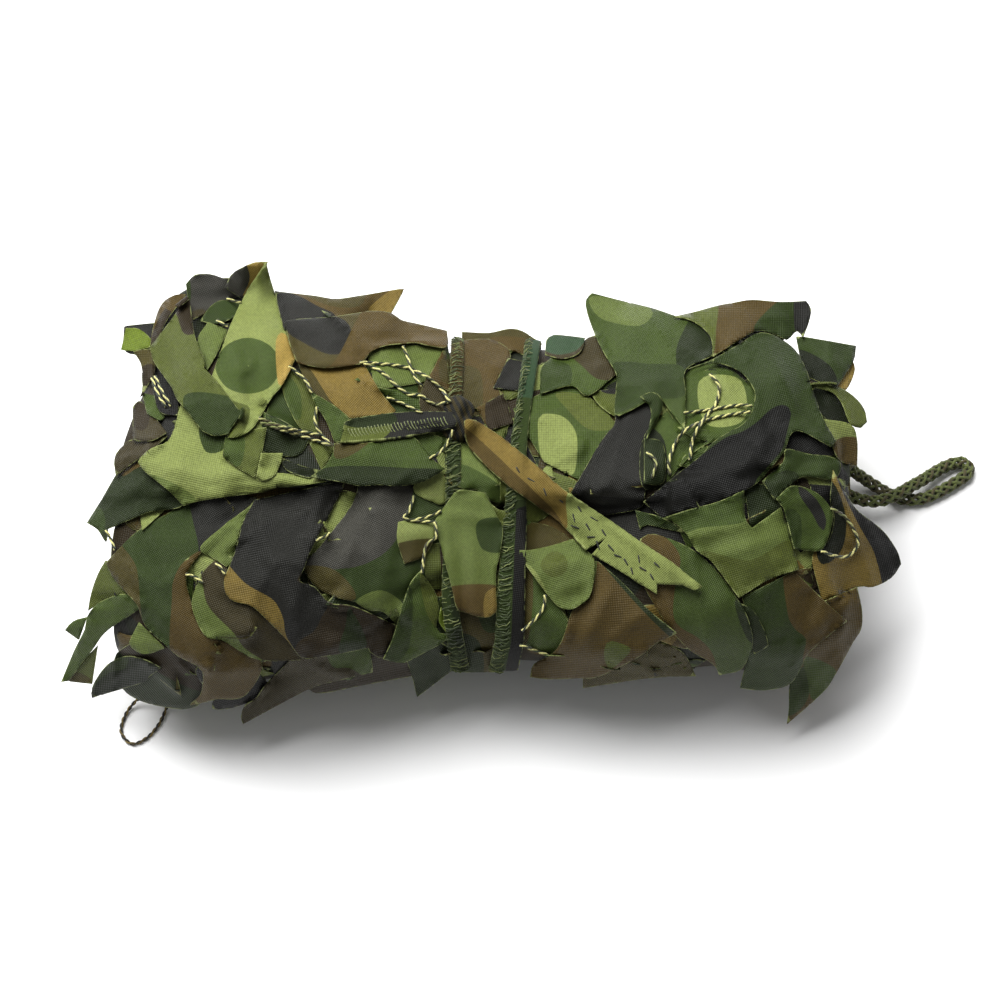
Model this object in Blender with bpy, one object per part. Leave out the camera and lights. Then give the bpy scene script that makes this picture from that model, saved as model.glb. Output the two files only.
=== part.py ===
"""A camouflage net of die-cut cloth, folded, rolled up and tied twice round with a strip of its own cloth.

Metres, +Z up, the roll lies along X on the floor z = 0. The long free edge of the outer turn is on top.
The leaves of the cloth grow out of the wound band, each draped over what lies below it. Their places are
given as pixels of a picture of the roll, seen from PICTURE_DISTANCE away at PICTURE_ELEVATION.
"""
import math
import random

import bmesh
import bpy
from mathutils import Vector
from mathutils.bvhtree import BVHTree

# The picture that the leaves are placed in
PICTURE_PIXEL = 0.00042
PICTURE_CENTRE = 500
PICTURE_DISTANCE = 1.30
PICTURE_ELEVATION = math.radians(65)
PICTURE_AIM = Vector((0.0086, 0.004, 0.046))

# The roll
TURNS = 3
START_ANGLE = math.radians(100)
STEPS_PER_TURN = (18, 9, 9)
CORE_HALF = 0.006
CORE_GAP = 0.0006
TURN_GAP = 0.0015
FLAT_CUT = 0.0016
OVAL_POWER = 2.3
FREE_EDGE_SHARE = 0.07
FREE_EDGE_DROP = 0.0042
LUMP = 0.0019
RUFFLE = 0.003

# Leaves, tie and cords
LEAF_THICKNESS = 0.0013
LEAF_GAP = 0.0006
LEAF_DROOP = 0.55
LEAF_SLOPE = 0.75
NECK_DROP = 0.001
NECK_REACH = 0.022
ROOT_WIDTH = 0.007
ROOT_FACE = 0.0034
FLOOR_GAP = 0.0016
TIE_WIDTH = 0.011
TIE_THICKNESS = 0.0015
TIE_GAP = 0.0009
ROPE_DIAMETER = 0.0055
TWINE_DIAMETER = 0.0016

# How the roll's outside runs from its left end to its right end
STATION_COLUMNS = ("x", "half_depth", "half_height", "lift", "middle_y")
STATIONS = (
    (-0.146, 0.078, 0.041, 0.0040, 0.005),
    (-0.136, 0.082, 0.045, 0.0014, 0.005),
    (-0.120, 0.086, 0.048, 0.0000, 0.005),
    (-0.105, 0.087, 0.0485, 0.0000, 0.005),
    (-0.090, 0.087, 0.0485, 0.0000, 0.005),
    (-0.074, 0.086, 0.0485, 0.0000, 0.005),
    (-0.058, 0.084, 0.0475, 0.0000, 0.004),
    (-0.044, 0.081, 0.0455, 0.0000, 0.004),
    (-0.032, 0.077, 0.043, 0.0026, 0.003),
    (-0.021, 0.073, 0.0405, 0.0048, 0.002),
    (0.003, 0.072, 0.040, 0.0048, 0.002),
    (0.027, 0.073, 0.0405, 0.0048, 0.001),
    (0.040, 0.075, 0.043, 0.0022, 0.001),
    (0.056, 0.076, 0.045, 0.0000, 0.000),
    (0.073, 0.077, 0.0465, 0.0000, 0.000),
    (0.090, 0.077, 0.047, 0.0000, 0.000),
    (0.107, 0.078, 0.047, 0.0000, 0.000),
    (0.124, 0.077, 0.0455, 0.0000, 0.000),
    (0.138, 0.073, 0.0425, 0.0014, 0.001),
    (0.147, 0.069, 0.040, 0.0040, 0.001),
)

# Leaves in the order in which they lie on one another, lowest first. Width and lift in millimetres.
LEAF_COLUMNS = ("root_x", "root_y", "tip_x", "tip_y", "width", "form", "bow", "lift")
LEAVES = (
    (238, 322, 200, 286, 22, "tongue", 0.0, 2),
    (192, 342, 162, 306, 14, "tongue", 0.1, 2),
    (168, 362, 123, 342, 9, "square", 0.0, 2),
    (178, 428, 134, 412, 15, "tongue", 0.0, 1),
    (172, 470, 118, 456, 15, "tongue", 0.0, 1),
    (158, 486, 89, 523, 15, "point", 0.1, 2),
    (140, 570, 92, 596, 16, "tongue", 0.0, 1),
    (136, 662, 92, 696, 13, "point", 0.1, 2),
    (262, 326, 238, 276, 16, "tongue", 0.0, 1),
    (288, 314, 402, 290, 15, "point", 0.1, 3),
    (436, 348, 292, 340, 23, "tongue", 0.1, 1),
    (268, 424, 262, 478, 15, "square", 0.0, 1),
    (326, 398, 328, 468, 14, "point", 0.0, 1),
    (338, 350, 372, 414, 27, "square", 0.0, 3),
    (204, 470, 330, 481, 20, "point", 0.1, 2),
    (214, 446, 146, 468, 27, "tongue", 0.0, 1),
    (258, 428, 266, 264, 36, "blade", 0.0, 2),
    (218, 418, 188, 318, 22, "tongue", -0.1, 1),
    (438, 456, 326, 470, 24, "tongue", -0.1, 4),
    (228, 498, 204, 548, 17, "point", 0.0, 1),
    (372, 498, 330, 590, 32, "tongue", 0.1, 2),
    (302, 496, 282, 640, 38, "tongue", 0.1, 2),
    (176, 506, 158, 652, 36, "tongue", -0.1, 2),
    (152, 602, 64, 680, 18, "point", 0.2, 4),
    (254, 686, 214, 703, 9, "square", 0.0, 1),
    (216, 574, 284, 652, 28, "tongue", -0.1, 3),
    (330, 652, 244, 722, 17, "tongue", 0.0, 2),
    (444, 666, 417, 696, 10, "point", 0.0, 1),
    (432, 574, 402, 660, 26, "tongue", 0.1, 3),
    (436, 474, 426, 506, 11, "square", 0.0, 2),
    (492, 350, 490, 392, 14, "square", 0.0, 1),
    (482, 446, 484, 500, 14, "square", 0.0, 1),
    (560, 398, 552, 362, 16, "tongue", 0.0, 1),
    (592, 356, 600, 424, 20, "square", 0.0, 1),
    (530, 574, 552, 644, 17, "tongue", 0.0, 1),
    (716, 362, 792, 308, 26, "square", 0.1, 2),
    (816, 368, 854, 364, 19, "square", 0.0, 2),
    (818, 400, 864, 416, 12, "tongue", 0.0, 3),
    (820, 438, 852, 452, 15, "tongue", 0.0, 1),
    (794, 462, 838, 478, 14, "tongue", 0.0, 2),
    (636, 404, 602, 508, 28, "tongue", -0.1, 3),
    (646, 364, 656, 428, 28, "square", 0.0, 4),
    (668, 378, 592, 300, 33, "tongue", 0.1, 3),
    (756, 346, 828, 444, 36, "tongue", 0.1, 4),
    (784, 424, 650, 500, 23, "tongue", 0.0, 4),
    (594, 556, 694, 664, 50, "tongue", 0.0, 1),
    (800, 502, 816, 550, 20, "tongue", 0.0, 2),
    (824, 512, 894, 572, 30, "tongue", 0.1, 3),
    (832, 596, 846, 668, 18, "tongue", -0.1, 1),
    (816, 672, 791, 719, 12, "point", 0.0, 1),
    (764, 580, 822, 656, 38, "tongue", 0.0, 2),
    (532, 552, 572, 600, 26, "square", 0.0, 2),
    (544, 404, 580, 472, 34, "square", 0.0, 4),
    (704, 502, 776, 580, 32, "square", 0.0, 4),
    (676, 548, 734, 664, 30, "tongue", 0.0, 3),
    (690, 668, 584, 682, 11, "tongue", 0.0, 1),
    (446, 524, 478, 610, 25, "square", 0.0, 2),
)

# Share of the full width at each step from root to tip
FORMS = {
    "tongue": (0.55, 0.94, 1.00, 0.80, 0.34),
    "point": (0.80, 1.00, 0.80, 0.42, 0.06),
    "square": (0.66, 0.94, 1.00, 1.00, 0.92),
    "blade": (0.60, 1.00, 0.82, 0.44, 0.07),
}
LEAF_STEPS = (0.10, 0.36, 0.60, 0.83, 1.00)

# Where the leaves of the sides go that the picture doesn't show: view, columns, rows, first leaf, spacing in mm
SIDE_COLUMNS = ("name", "azimuth", "elevation", "columns", "rows", "spread_x", "spread_y", "middle_y")
SIDES = (
    ("back", 180, 12, 6, 2, 56, 30, 8),
    ("left_end", -90, 10, 3, 1, 42, 20, -6),
    ("right_end", 90, 10, 3, 1, 38, 20, -6),
    ("front_foot", 0, 8, 5, 1, 60, 20, 24),
)
SIDE_SEED = 11

# Tie: where the two turns cross the roll, and how far they run askew from front to back
TIE_COLUMNS = ("name", "x", "slant")
TIES = (
    ("tie_band_left", -0.0105, 0.0010),
    ("tie_band_right", 0.0170, 0.0030),
)
KNOT_PLACE = (458, 419)
KNOT_SIZE = (0.0075, 0.0118, 0.0085)
LEFT_TAIL = ((447, 421), (424, 427), (398, 431), (370, 431), (342, 434))
RIGHT_TAIL = ((468, 424), (498, 447), (530, 475), (565, 504), (600, 530), (640, 556), (676, 580))
TAIL_TIP_SLANT = 0.007

# Cord routes: pixels of the picture and the height above the floor in millimetres
ROPE_ROUTE = (
    (838, 459, 16.0), (846, 466, 13.0), (857, 474, 8.5), (872, 484, 4.5), (887, 493, 2.8), (903, 499, 2.8),
    (921, 499, 2.8), (941, 491, 2.8), (958, 481, 2.8), (968, 473, 2.8), (966, 464, 2.9), (955, 463, 3.2),
    (940, 469, 4.2), (924, 479, 6.4), (908, 488, 8.6), (894, 496, 9.2), (878, 501, 8.8), (862, 500, 9.4),
    (849, 495, 11.5), (839, 490, 13.0),
)
TWINE_ROUTE = (
    (167, 687, 15.0), (170, 693, 10.0), (169, 700, 5.0), (166, 709, 1.6), (159, 724, 0.9), (148, 737, 0.9),
    (134, 744, 0.9), (125, 739, 0.9), (121, 729, 0.9), (126, 714, 1.0), (135, 702, 2.5), (146, 694, 6.5),
    (154, 689, 12.0),
)


def clear_scene():
    for item in list(bpy.data.objects):
        bpy.data.objects.remove(item, do_unlink=True)


def cloth_material(name, colour, roughness=0.85):
    material = bpy.data.materials.new(name)
    material.use_nodes = True
    shader = material.node_tree.nodes["Principled BSDF"]
    shader.inputs["Base Color"].default_value = (*colour, 1.0)
    shader.inputs["Roughness"].default_value = roughness
    shader.inputs["Metallic"].default_value = 0.0
    return material


def make_object(name, mesh, material):
    item = bpy.data.objects.new(name, mesh)
    bpy.context.scene.collection.objects.link(item)
    mesh.materials.append(material)
    return item


def mesh_from(bm, name):
    bmesh.ops.recalc_face_normals(bm, faces=bm.faces)
    mesh = bpy.data.meshes.new(name)
    bm.to_mesh(mesh)
    return mesh


class View:
    """A picture plane through an aim point, looked at from a distance; x runs right and y down."""

    def __init__(self, aim, azimuth, elevation, distance, unit, centre):
        turn = math.radians(azimuth)
        forward = Vector((math.sin(turn), math.cos(turn), 0.0))
        self.right = Vector((forward.y, -forward.x, 0.0))
        self.toward = Vector((0, 0, math.sin(elevation))) - forward * math.cos(elevation)
        self.up = Vector((0, 0, math.cos(elevation))) + forward * math.sin(elevation)
        self.aim = aim
        self.distance = distance
        self.unit = unit
        self.centre = centre

    def point(self, x, y, depth):
        scale = self.unit * (1 - depth / self.distance)
        across = self.right * (x - self.centre) * scale
        upward = self.up * (self.centre - y) * scale
        return self.aim + across + upward + self.toward * depth

    def flat(self, place):
        offset = place - self.aim
        depth = offset.dot(self.toward)
        scale = self.unit * (1 - depth / self.distance)
        x = self.centre + offset.dot(self.right) / scale
        y = self.centre - offset.dot(self.up) / scale
        return x, y, depth

    def cast(self, trees, x, y):
        """The nearest hit on the trees seen at x, y: its depth, the tree's place in the list and the face."""
        eye = self.aim + self.toward * self.distance
        ray = (self.point(x, y, 0) - eye).normalized()
        best = None
        for order, tree in enumerate(trees):
            place, _, face, _ = tree.ray_cast(eye, ray)
            if place is None:
                continue
            depth = (place - self.aim).dot(self.toward)
            if best is None or depth > best[0]:
                best = (depth, order, face)
        return best

    def above_floor(self, x, y, depth, height):
        """The depth, raised as far as keeps the point at least height above the floor."""
        low = height - self.point(x, y, depth).z
        return depth + low / self.toward.z if low > 0 else depth


def picture_view():
    return View(PICTURE_AIM, 0, PICTURE_ELEVATION, PICTURE_DISTANCE, PICTURE_PIXEL, PICTURE_CENTRE)


def station_at(x):
    """The roll's section sizes at x, linear between the stations."""
    rows = STATIONS
    if x <= rows[0][0]:
        return dict(zip(STATION_COLUMNS, rows[0]))
    for low, high in zip(rows, rows[1:]):
        if x <= high[0]:
            share = (x - low[0]) / (high[0] - low[0])
            mixed = [a + (b - a) * share for a, b in zip(low, high)]
            return dict(zip(STATION_COLUMNS, mixed))
    return dict(zip(STATION_COLUMNS, rows[-1]))


def pitch_of(station):
    return (station["half_height"] - CORE_HALF) / (TURNS + 1)


def oval(angle, half_y, half_z):
    power = 2 / OVAL_POWER
    cosine, sine = math.cos(angle), math.sin(angle)
    y = half_y * math.copysign(abs(cosine) ** power, cosine)
    z = half_z * math.copysign(abs(sine) ** power, sine)
    return y, z


def lump_at(x, angle):
    wave = math.sin(43 * x + 2 * angle) + 0.6 * math.sin(77 * x - 3 * angle + 1)
    return LUMP * wave * (0.55 + 0.45 * math.sin(angle))


def centre_height(station):
    """The height of the section's middle that puts the flat spot of the outer turn on the floor."""
    turned = (START_ANGLE + math.pi / 2) / (2 * math.pi)
    return station["lift"] + station["half_height"] - pitch_of(station) * turned - FLAT_CUT


def wound_point(station, turn, inward):
    """A point of the spiral after turn turns, inward metres under its outside."""
    angle = START_ANGLE - 2 * math.pi * turn
    shrink = pitch_of(station) * turn + inward - lump_at(station["x"], angle)
    y, z = oval(angle, station["half_depth"] - shrink, station["half_height"] - shrink)
    height = max(centre_height(station) + z, station["lift"] + inward * 0.8)
    return Vector((station["x"], station["middle_y"] + y, height))


def turn_values():
    values = []
    for turn, steps in enumerate(STEPS_PER_TURN):
        values += [turn + step / steps for step in range(steps)]
    return values + [TURNS]


def wound_section(station, end):
    """Outer and inner point of the band for each step of the spiral; end is -1 or 1 at the roll's ends."""
    section = []
    for turn in turn_values():
        drop = FREE_EDGE_DROP * max(0.0, 1 - turn / FREE_EDGE_SHARE)
        outer = wound_point(station, turn, drop)
        inner = wound_point(station, turn, pitch_of(station) - TURN_GAP)
        if turn > TURNS - 1:
            middle = centre_height(station)
            inner.z = middle + math.copysign(CORE_GAP, inner.z - middle)
        push = end * RUFFLE * (math.sin(2.3 * turn * math.pi) + 0.5 * math.sin(5.1 * turn * math.pi + end))
        outer.x += push
        inner.x += push
        section.append((outer, inner))
    return section


def wound_band():
    """The rolled band: the spiral section extruded from station to station along the roll."""
    bm = bmesh.new()
    spot = bm.verts.layers.int.new("spot")
    bm.verts.layers.int.new("row")
    stations = [dict(zip(STATION_COLUMNS, row)) for row in STATIONS]
    section = wound_section(stations[0], -1)
    pairs = []
    for number, pair in enumerate(section):
        made = [bm.verts.new(place) for place in pair]
        made[0][spot] = 2 * number
        made[1][spot] = 2 * number + 1
        pairs.append(made)
    faces = [bm.faces.new((a[0], b[0], b[1], a[1])) for a, b in zip(pairs, pairs[1:])]
    for number, station in enumerate(stations[1:], 1):
        end = 1 if number == len(stations) - 1 else 0
        places = [place for pair in wound_section(station, end) for place in pair]
        faces = extrude_to(bm, faces, places, spot, keep=number == 1)
    bmesh.ops.recalc_face_normals(bm, faces=bm.faces)
    return bm


def tree_of(bm):
    bm.verts.index_update()
    bm.faces.index_update()
    bm.faces.ensure_lookup_table()
    return BVHTree.FromBMesh(bm)


def rest_depth(view, trees, x, y, reach):
    """The highest depth seen in a small patch round x, y, or None where nothing lies below it."""
    depths = []
    for step_x in (-1, 0, 1):
        for step_y in (-1, 0, 1):
            hit = view.cast(trees, x + step_x * reach, y + step_y * reach)
            if hit:
                depths.append(hit[0])
    return max(depths) if depths else None


def free_faces(bm, view, trees, used, root):
    """Large enough faces of the net near root, seen from the view and not yet used by another leaf."""
    step = 0.0035 / view.unit
    found = []
    for ring in range(14):
        count = max(1, 7 * ring)
        for number in range(count):
            turn = 2 * math.pi * number / count
            hit = view.cast(trees, root[0] + ring * step * math.cos(turn), root[1] + ring * step * math.sin(turn))
            if not hit or hit[1] != 0 or hit[2] in found:
                continue
            face = bm.faces[hit[2]]
            short = min(edge.calc_length() for edge in face.edges)
            if face[used] or len(face.verts) != 4 or short < ROOT_FACE:
                continue
            middle = view.flat(face.calc_center_median())
            seen = view.cast(trees, middle[0], middle[1])
            if seen and seen[1] == 0 and seen[2] == hit[2] and face.normal.dot(view.toward) > 0.15:
                found.append(hit[2])
                yield face


def root_frame(face, view, along):
    """Where a leaf leaves a face: the middle, the normal, the ways along and across the leaf, half its width."""
    normal = face.normal.copy()
    short = min(edge.calc_length() for edge in face.edges)
    length_way = (along - normal * along.dot(normal)).normalized()
    cross_way = length_way.cross(normal)
    if cross_way.dot(view.right * along.dot(view.up) - view.up * along.dot(view.right)) < 0:
        cross_way.negate()
    return face.calc_center_median(), normal, length_way, cross_way, min(ROOT_WIDTH, 0.62 * short) / 2


def stub_places(frame, along, columns):
    """The leaf's first section, just off the face that it grows from."""
    centre, normal, length_way, cross_way, half_long = frame
    places = {}
    for column in range(columns + 1):
        across = cross_way * half_long * (2 * column / columns - 1)
        lower = centre + across + length_way * LEAF_THICKNESS / 2
        upper = centre + across - length_way * LEAF_THICKNESS / 2
        places[column] = lower + normal * 0.0010 + along * 0.0002
        places[100 + column] = upper + normal * 0.0021 + along * 0.0012
    return places


def bend_places(view, trees, stub, goal):
    """A section over the stub, level with the leaf's first full one, where the leaf's neck turns over."""
    places = {}
    for key, place in stub.items():
        x, y, depth = view.flat(place.lerp(goal[key], 0.12))
        below = rest_depth(view, trees, x, y, 0.002 / view.unit) or depth
        need = below + LEAF_GAP + (LEAF_THICKNESS if key >= 100 else 0)
        places[key] = view.point(x, y, max(depth, need, view.flat(goal[key])[2] - NECK_DROP))
    return places


def cut_slot(bm, face, frame, columns, spot, used):
    """Turns the middle of face into a narrow slot across the leaf and returns its faces."""
    centre, normal, length_way, cross_way, half_long = frame
    half_thick = LEAF_THICKNESS / 2
    corners = [
        (0, 0, centre + length_way * half_thick - cross_way * half_long),
        (0, columns, centre + length_way * half_thick + cross_way * half_long),
        (1, columns, centre - length_way * half_thick + cross_way * half_long),
        (1, 0, centre - length_way * half_thick - cross_way * half_long),
    ]
    turned = (corners[1][2] - corners[0][2]).cross(corners[2][2] - corners[1][2])
    if turned.dot(normal) < 0:
        corners.reverse()
    short = min(edge.calc_length() for edge in face.edges)
    ring = bmesh.ops.inset_individual(bm, faces=[face], thickness=short * 0.2)["faces"]
    for item in [*ring, face]:
        item[used] = 1
    verts = list(face.verts)
    shifts = [sum((verts[i].co - corners[(i + s) % 4][2]).length for i in range(4)) for s in range(4)]
    shift = shifts.index(min(shifts))
    named = {}
    for number, vert in enumerate(verts):
        row, column, place = corners[(number + shift) % 4]
        vert.co = place
        named[(row, column)] = vert
    for row in (0, 1):
        first, last = named[(row, 0)], named[(row, columns)]
        for column in range(1, columns):
            edge = bm.edges.get((first, last))
            left = columns - column + 1
            _, first = bmesh.utils.edge_split(edge, first, 1 / left)
            named[(row, column)] = first
    for (row, column), vert in named.items():
        vert[spot] = row * 100 + column
    parts = [face]
    for column in range(1, columns):
        pair = (named[(0, column)], named[(1, column)])
        owner = next(part for part in parts if all(vert in part.verts for vert in pair))
        made, _ = bmesh.utils.face_split(owner, *pair)
        made[used] = 1
        parts.append(made)
    return parts


def leaf_rows(view, trees, leaf, columns):
    """Bottom points of the leaf for each step from its root to its tip: x, y and depth."""
    root = Vector((leaf["root_x"], leaf["root_y"]))
    tip = Vector((leaf["tip_x"], leaf["tip_y"]))
    way = (tip - root).normalized()
    side = Vector((-way.y, way.x))
    width = leaf["width"] / 1000 / view.unit
    rows = []
    for share, part in zip(LEAF_STEPS, FORMS[leaf["form"]]):
        middle = root.lerp(tip, share) + side * leaf["bow"] * (tip - root).length * 4 * share * (1 - share) / 2
        row = []
        for column in range(columns + 1):
            place = middle + side * width * part * (column / columns - 0.5)
            depth = rest_depth(view, trees, place.x, place.y, 0.0036 / view.unit)
            row.append([place.x, place.y, depth])
        rows.append(row)
    fill_missing(view, rows)
    soften(view, rows)
    for share, row in zip(LEAF_STEPS, rows):
        for spot in row:
            spot[2] += LEAF_GAP + leaf["lift"] / 1000 * share * share
    return rows


def soften(view, rows):
    """Lets the cloth bridge a steep drop: no point lies much lower than the points next to it."""
    steps = [(0, 1), (1, 0), (0, -1), (-1, 0)]
    for _ in range(3):
        for number, row in enumerate(rows):
            for column, spot in enumerate(row):
                for step_row, step_column in steps:
                    near_row, near_column = number + step_row, column + step_column
                    if 0 <= near_row < len(rows) and 0 <= near_column < len(row):
                        near = rows[near_row][near_column]
                        run = math.hypot(spot[0] - near[0], spot[1] - near[1]) * view.unit
                        spot[2] = max(spot[2], near[2] - LEAF_SLOPE * run)


def fill_missing(view, rows):
    """Past the roll's edge a leaf hangs on from the step before it, and never under the floor."""
    for number, row in enumerate(rows):
        known = [spot[2] for spot in row if spot[2] is not None]
        for column, spot in enumerate(row):
            if spot[2] is not None and (not known or spot[2] > max(known) - 0.02):
                continue
            before = rows[number - 1][column] if number else None
            if before:
                run = math.hypot(spot[0] - before[0], spot[1] - before[1]) * view.unit
                spot[2] = before[2] - LEAF_DROOP * run
            else:
                spot[2] = max(known) if known else 0.0
        for spot in row:
            spot[2] = view.above_floor(spot[0], spot[1], spot[2], FLOOR_GAP)


def section_places(view, row, thickness):
    places = {}
    for column, (x, y, depth) in enumerate(row):
        places[column] = view.point(x, y, depth)
        places[100 + column] = view.point(x, y, depth + thickness)
    return places


def sheet_tree(sections, columns):
    """A search tree of the sheet between its sections, to test it against what it lies on."""
    verts, polygons = [], []
    for section in sections:
        verts += [section[column] for column in range(columns + 1)]
        verts += [section[100 + column] for column in range(columns + 1)]
    size = 2 * (columns + 1)
    for number in range(len(sections) - 1):
        quads = [(level + column, level + column + 1) for level in (0, columns + 1) for column in range(columns)]
        quads += [(column, column + columns + 1) for column in (0, columns)]
        for first, second in quads:
            a, b = number * size + first, number * size + second
            polygons += [(a, b, b + size), (a, b + size, a + size)]
    return BVHTree.FromPolygons(verts, polygons)


def extrude_to(bm, faces, places, spot, keep=False):
    """Extrudes the faces and puts each new point at its place; the old faces stay only as a first end cap."""
    row = bm.verts.layers.int["row"]
    made = bmesh.ops.extrude_face_region(bm, geom=faces, use_keep_orig=True)["geom"]
    if not keep:
        bmesh.ops.delete(bm, geom=faces, context="FACES")
    for vert in (item for item in made if isinstance(item, bmesh.types.BMVert)):
        vert.co = places[vert[spot]]
        vert[row] += 1
    return [item for item in made if isinstance(item, bmesh.types.BMFace)]


def split_quads(bm):
    """Splits every four-sided face the same way on both sides of a sheet, so that thin folds stay clear."""
    spot, row = bm.verts.layers.int["spot"], bm.verts.layers.int["row"]
    for face in [item for item in bm.faces if len(item.verts) == 4]:
        order = sorted(face.verts, key=lambda vert: (vert[row], vert[spot]))
        low, high = order[0], order[3]
        if bm.edges.get((low, high)) is None:
            bmesh.utils.face_split(face, low, high)


def leaf_sections(view, leaf, trees, columns):
    """The leaf's sections from root to tip, raised until they are clear of everything below."""
    rows = leaf_rows(view, trees, leaf, columns)
    for _ in range(30):
        sections = [section_places(view, row, LEAF_THICKNESS) for row in rows]
        tree = sheet_tree(sections, columns)
        if not any(tree.overlap(other) for other in trees):
            return sections
        for row in rows:
            for item in row:
                item[2] += 0.0005
    return None


def grow_leaf(bm, view, leaf, fixed, layers):
    """Extrudes one leaf out of the net, bent over at its root and draped over what lies below."""
    spot, used = layers
    columns = 3 if leaf["width"] > 19 else 2
    trees = [tree_of(bm), fixed]
    sections = leaf_sections(view, leaf, trees, columns)
    if sections is None:
        return False
    neck = sum((sections[0][column] for column in range(columns + 1)), Vector()) / (columns + 1)
    tip_way = view.point(leaf["tip_x"], leaf["tip_y"], 0) - view.point(leaf["root_x"], leaf["root_y"], 0)
    tip_way.normalize()
    chosen, lowest = None, 4
    for face in free_faces(bm, view, trees, used, (leaf["root_x"], leaf["root_y"])):
        along = neck - face.calc_center_median()
        behind = along.dot(tip_way) > 0.003
        along -= view.toward * along.dot(view.toward)
        if along.length < 0.004 or along.dot(tip_way) < 0:
            along = tip_way.copy()
        along.normalize()
        frame = root_frame(face, view, along)
        first = [stub_places(frame, along, columns)]
        if (neck - frame[0]).dot(view.toward) > 0.004 or (neck - frame[0]).length > 0.012:
            first.append(bend_places(view, trees, first[0], sections[0]))
        neck_tree = sheet_tree([*first, sections[0]], columns)
        faults = bool(neck_tree.overlap(trees[0])) + 1.5 * (not behind) + 4 * bool(neck_tree.overlap(fixed))
        cost = faults + (neck - frame[0]).length / NECK_REACH
        if cost < lowest:
            chosen, lowest = (face, frame, first), cost
    if chosen is None:
        return False
    face, frame, first = chosen
    slot = cut_slot(bm, face, frame, columns, spot, used)
    for section in [*first, *sections]:
        slot = extrude_to(bm, slot, section, spot)
    for part in slot:
        part[used] = 1
    return True


def side_leaves():
    """Leaves for the back, the ends and the foot of the roll, in rows that a maker's die repeats."""
    draw = random.Random(SIDE_SEED)
    forms = ("tongue", "square", "point", "tongue")
    for side in (dict(zip(SIDE_COLUMNS, row)) for row in SIDES):
        view = View(PICTURE_AIM.copy(), side["azimuth"], math.radians(side["elevation"]), 6.0, 0.001, 0)
        for row in range(side["rows"]):
            for column in range(side["columns"]):
                x = (column - (side["columns"] - 1) / 2) * side["spread_x"] + draw.uniform(-9, 9)
                y = side["middle_y"] + (row - (side["rows"] - 1) / 2) * side["spread_y"] + draw.uniform(-4, 4)
                turn = draw.uniform(-1.1, 1.1) + (math.pi if draw.random() < 0.25 else 0)
                length = draw.uniform(34, 50)
                leaf = {
                    "root_x": x,
                    "root_y": y,
                    "tip_x": x + length * math.sin(turn),
                    "tip_y": y + length * math.cos(turn) * 0.62,
                    "width": draw.uniform(19, 27),
                    "form": forms[(row + column) % 4],
                    "bow": draw.uniform(-0.15, 0.15),
                    "lift": draw.uniform(1, 3),
                }
                yield view, leaf


def band_ring(x, slant):
    """One turn of the tie: the strip's section at each angle round the roll, on the outer turn."""
    bm = bmesh.new()
    sections = []
    count = 30
    for number in range(count):
        angle = START_ANGLE - 2 * math.pi * number / count
        section = []
        for across in (-0.5, 0.5):
            place_x = x + slant * math.cos(angle) + across * TIE_WIDTH
            station = station_at(place_x)
            turn = number / count
            back = (1 - turn) / 0.12 * 0.88 if turn > 0.88 else turn
            for out in (TIE_GAP, TIE_GAP + TIE_THICKNESS):
                shrink = pitch_of(station) * back - out - max(0.0, lump_at(place_x, angle)) - 0.0004
                y, z = oval(angle, station["half_depth"] - shrink, station["half_height"] - shrink)
                height = centre_height(station) + z
                floor = station["lift"] - out
                section.append(bm.verts.new((place_x, station["middle_y"] + y, max(height, floor))))
        sections.append([section[0], section[1], section[3], section[2]])
    for here, after in zip(sections, sections[1:] + sections[:1]):
        for a in range(4):
            b = (a + 1) % 4
            bm.faces.new((here[a], here[b], after[b], after[a]))
    bmesh.ops.recalc_face_normals(bm, faces=bm.faces)
    return bm


def smooth_route(points, step):
    """Points at about step apart along a smooth curve through the route's own points."""
    padded = [points[0] * 2 - points[1], *points, points[-1] * 2 - points[-2]]
    fine = []
    for a, b, c, d in zip(padded, padded[1:], padded[2:], padded[3:]):
        for number in range(16):
            t = number / 16
            fine.append(0.5 * (2 * b + (c - a) * t + (2 * a - 5 * b + 4 * c - d) * t * t
                               + (3 * b - a - 3 * c + d) * t ** 3))
    fine.append(points[-1])
    total = sum((b - a).length for a, b in zip(fine, fine[1:]))
    count = max(2, round(total / step))
    spaced, walked, goal = [fine[0]], 0.0, total / count
    for a, b in zip(fine, fine[1:]):
        length = (b - a).length
        while walked + length >= goal * len(spaced) and len(spaced) < count:
            spaced.append(a.lerp(b, (goal * len(spaced) - walked) / length))
        walked += length
    return [*spaced, points[-1]]


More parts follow.
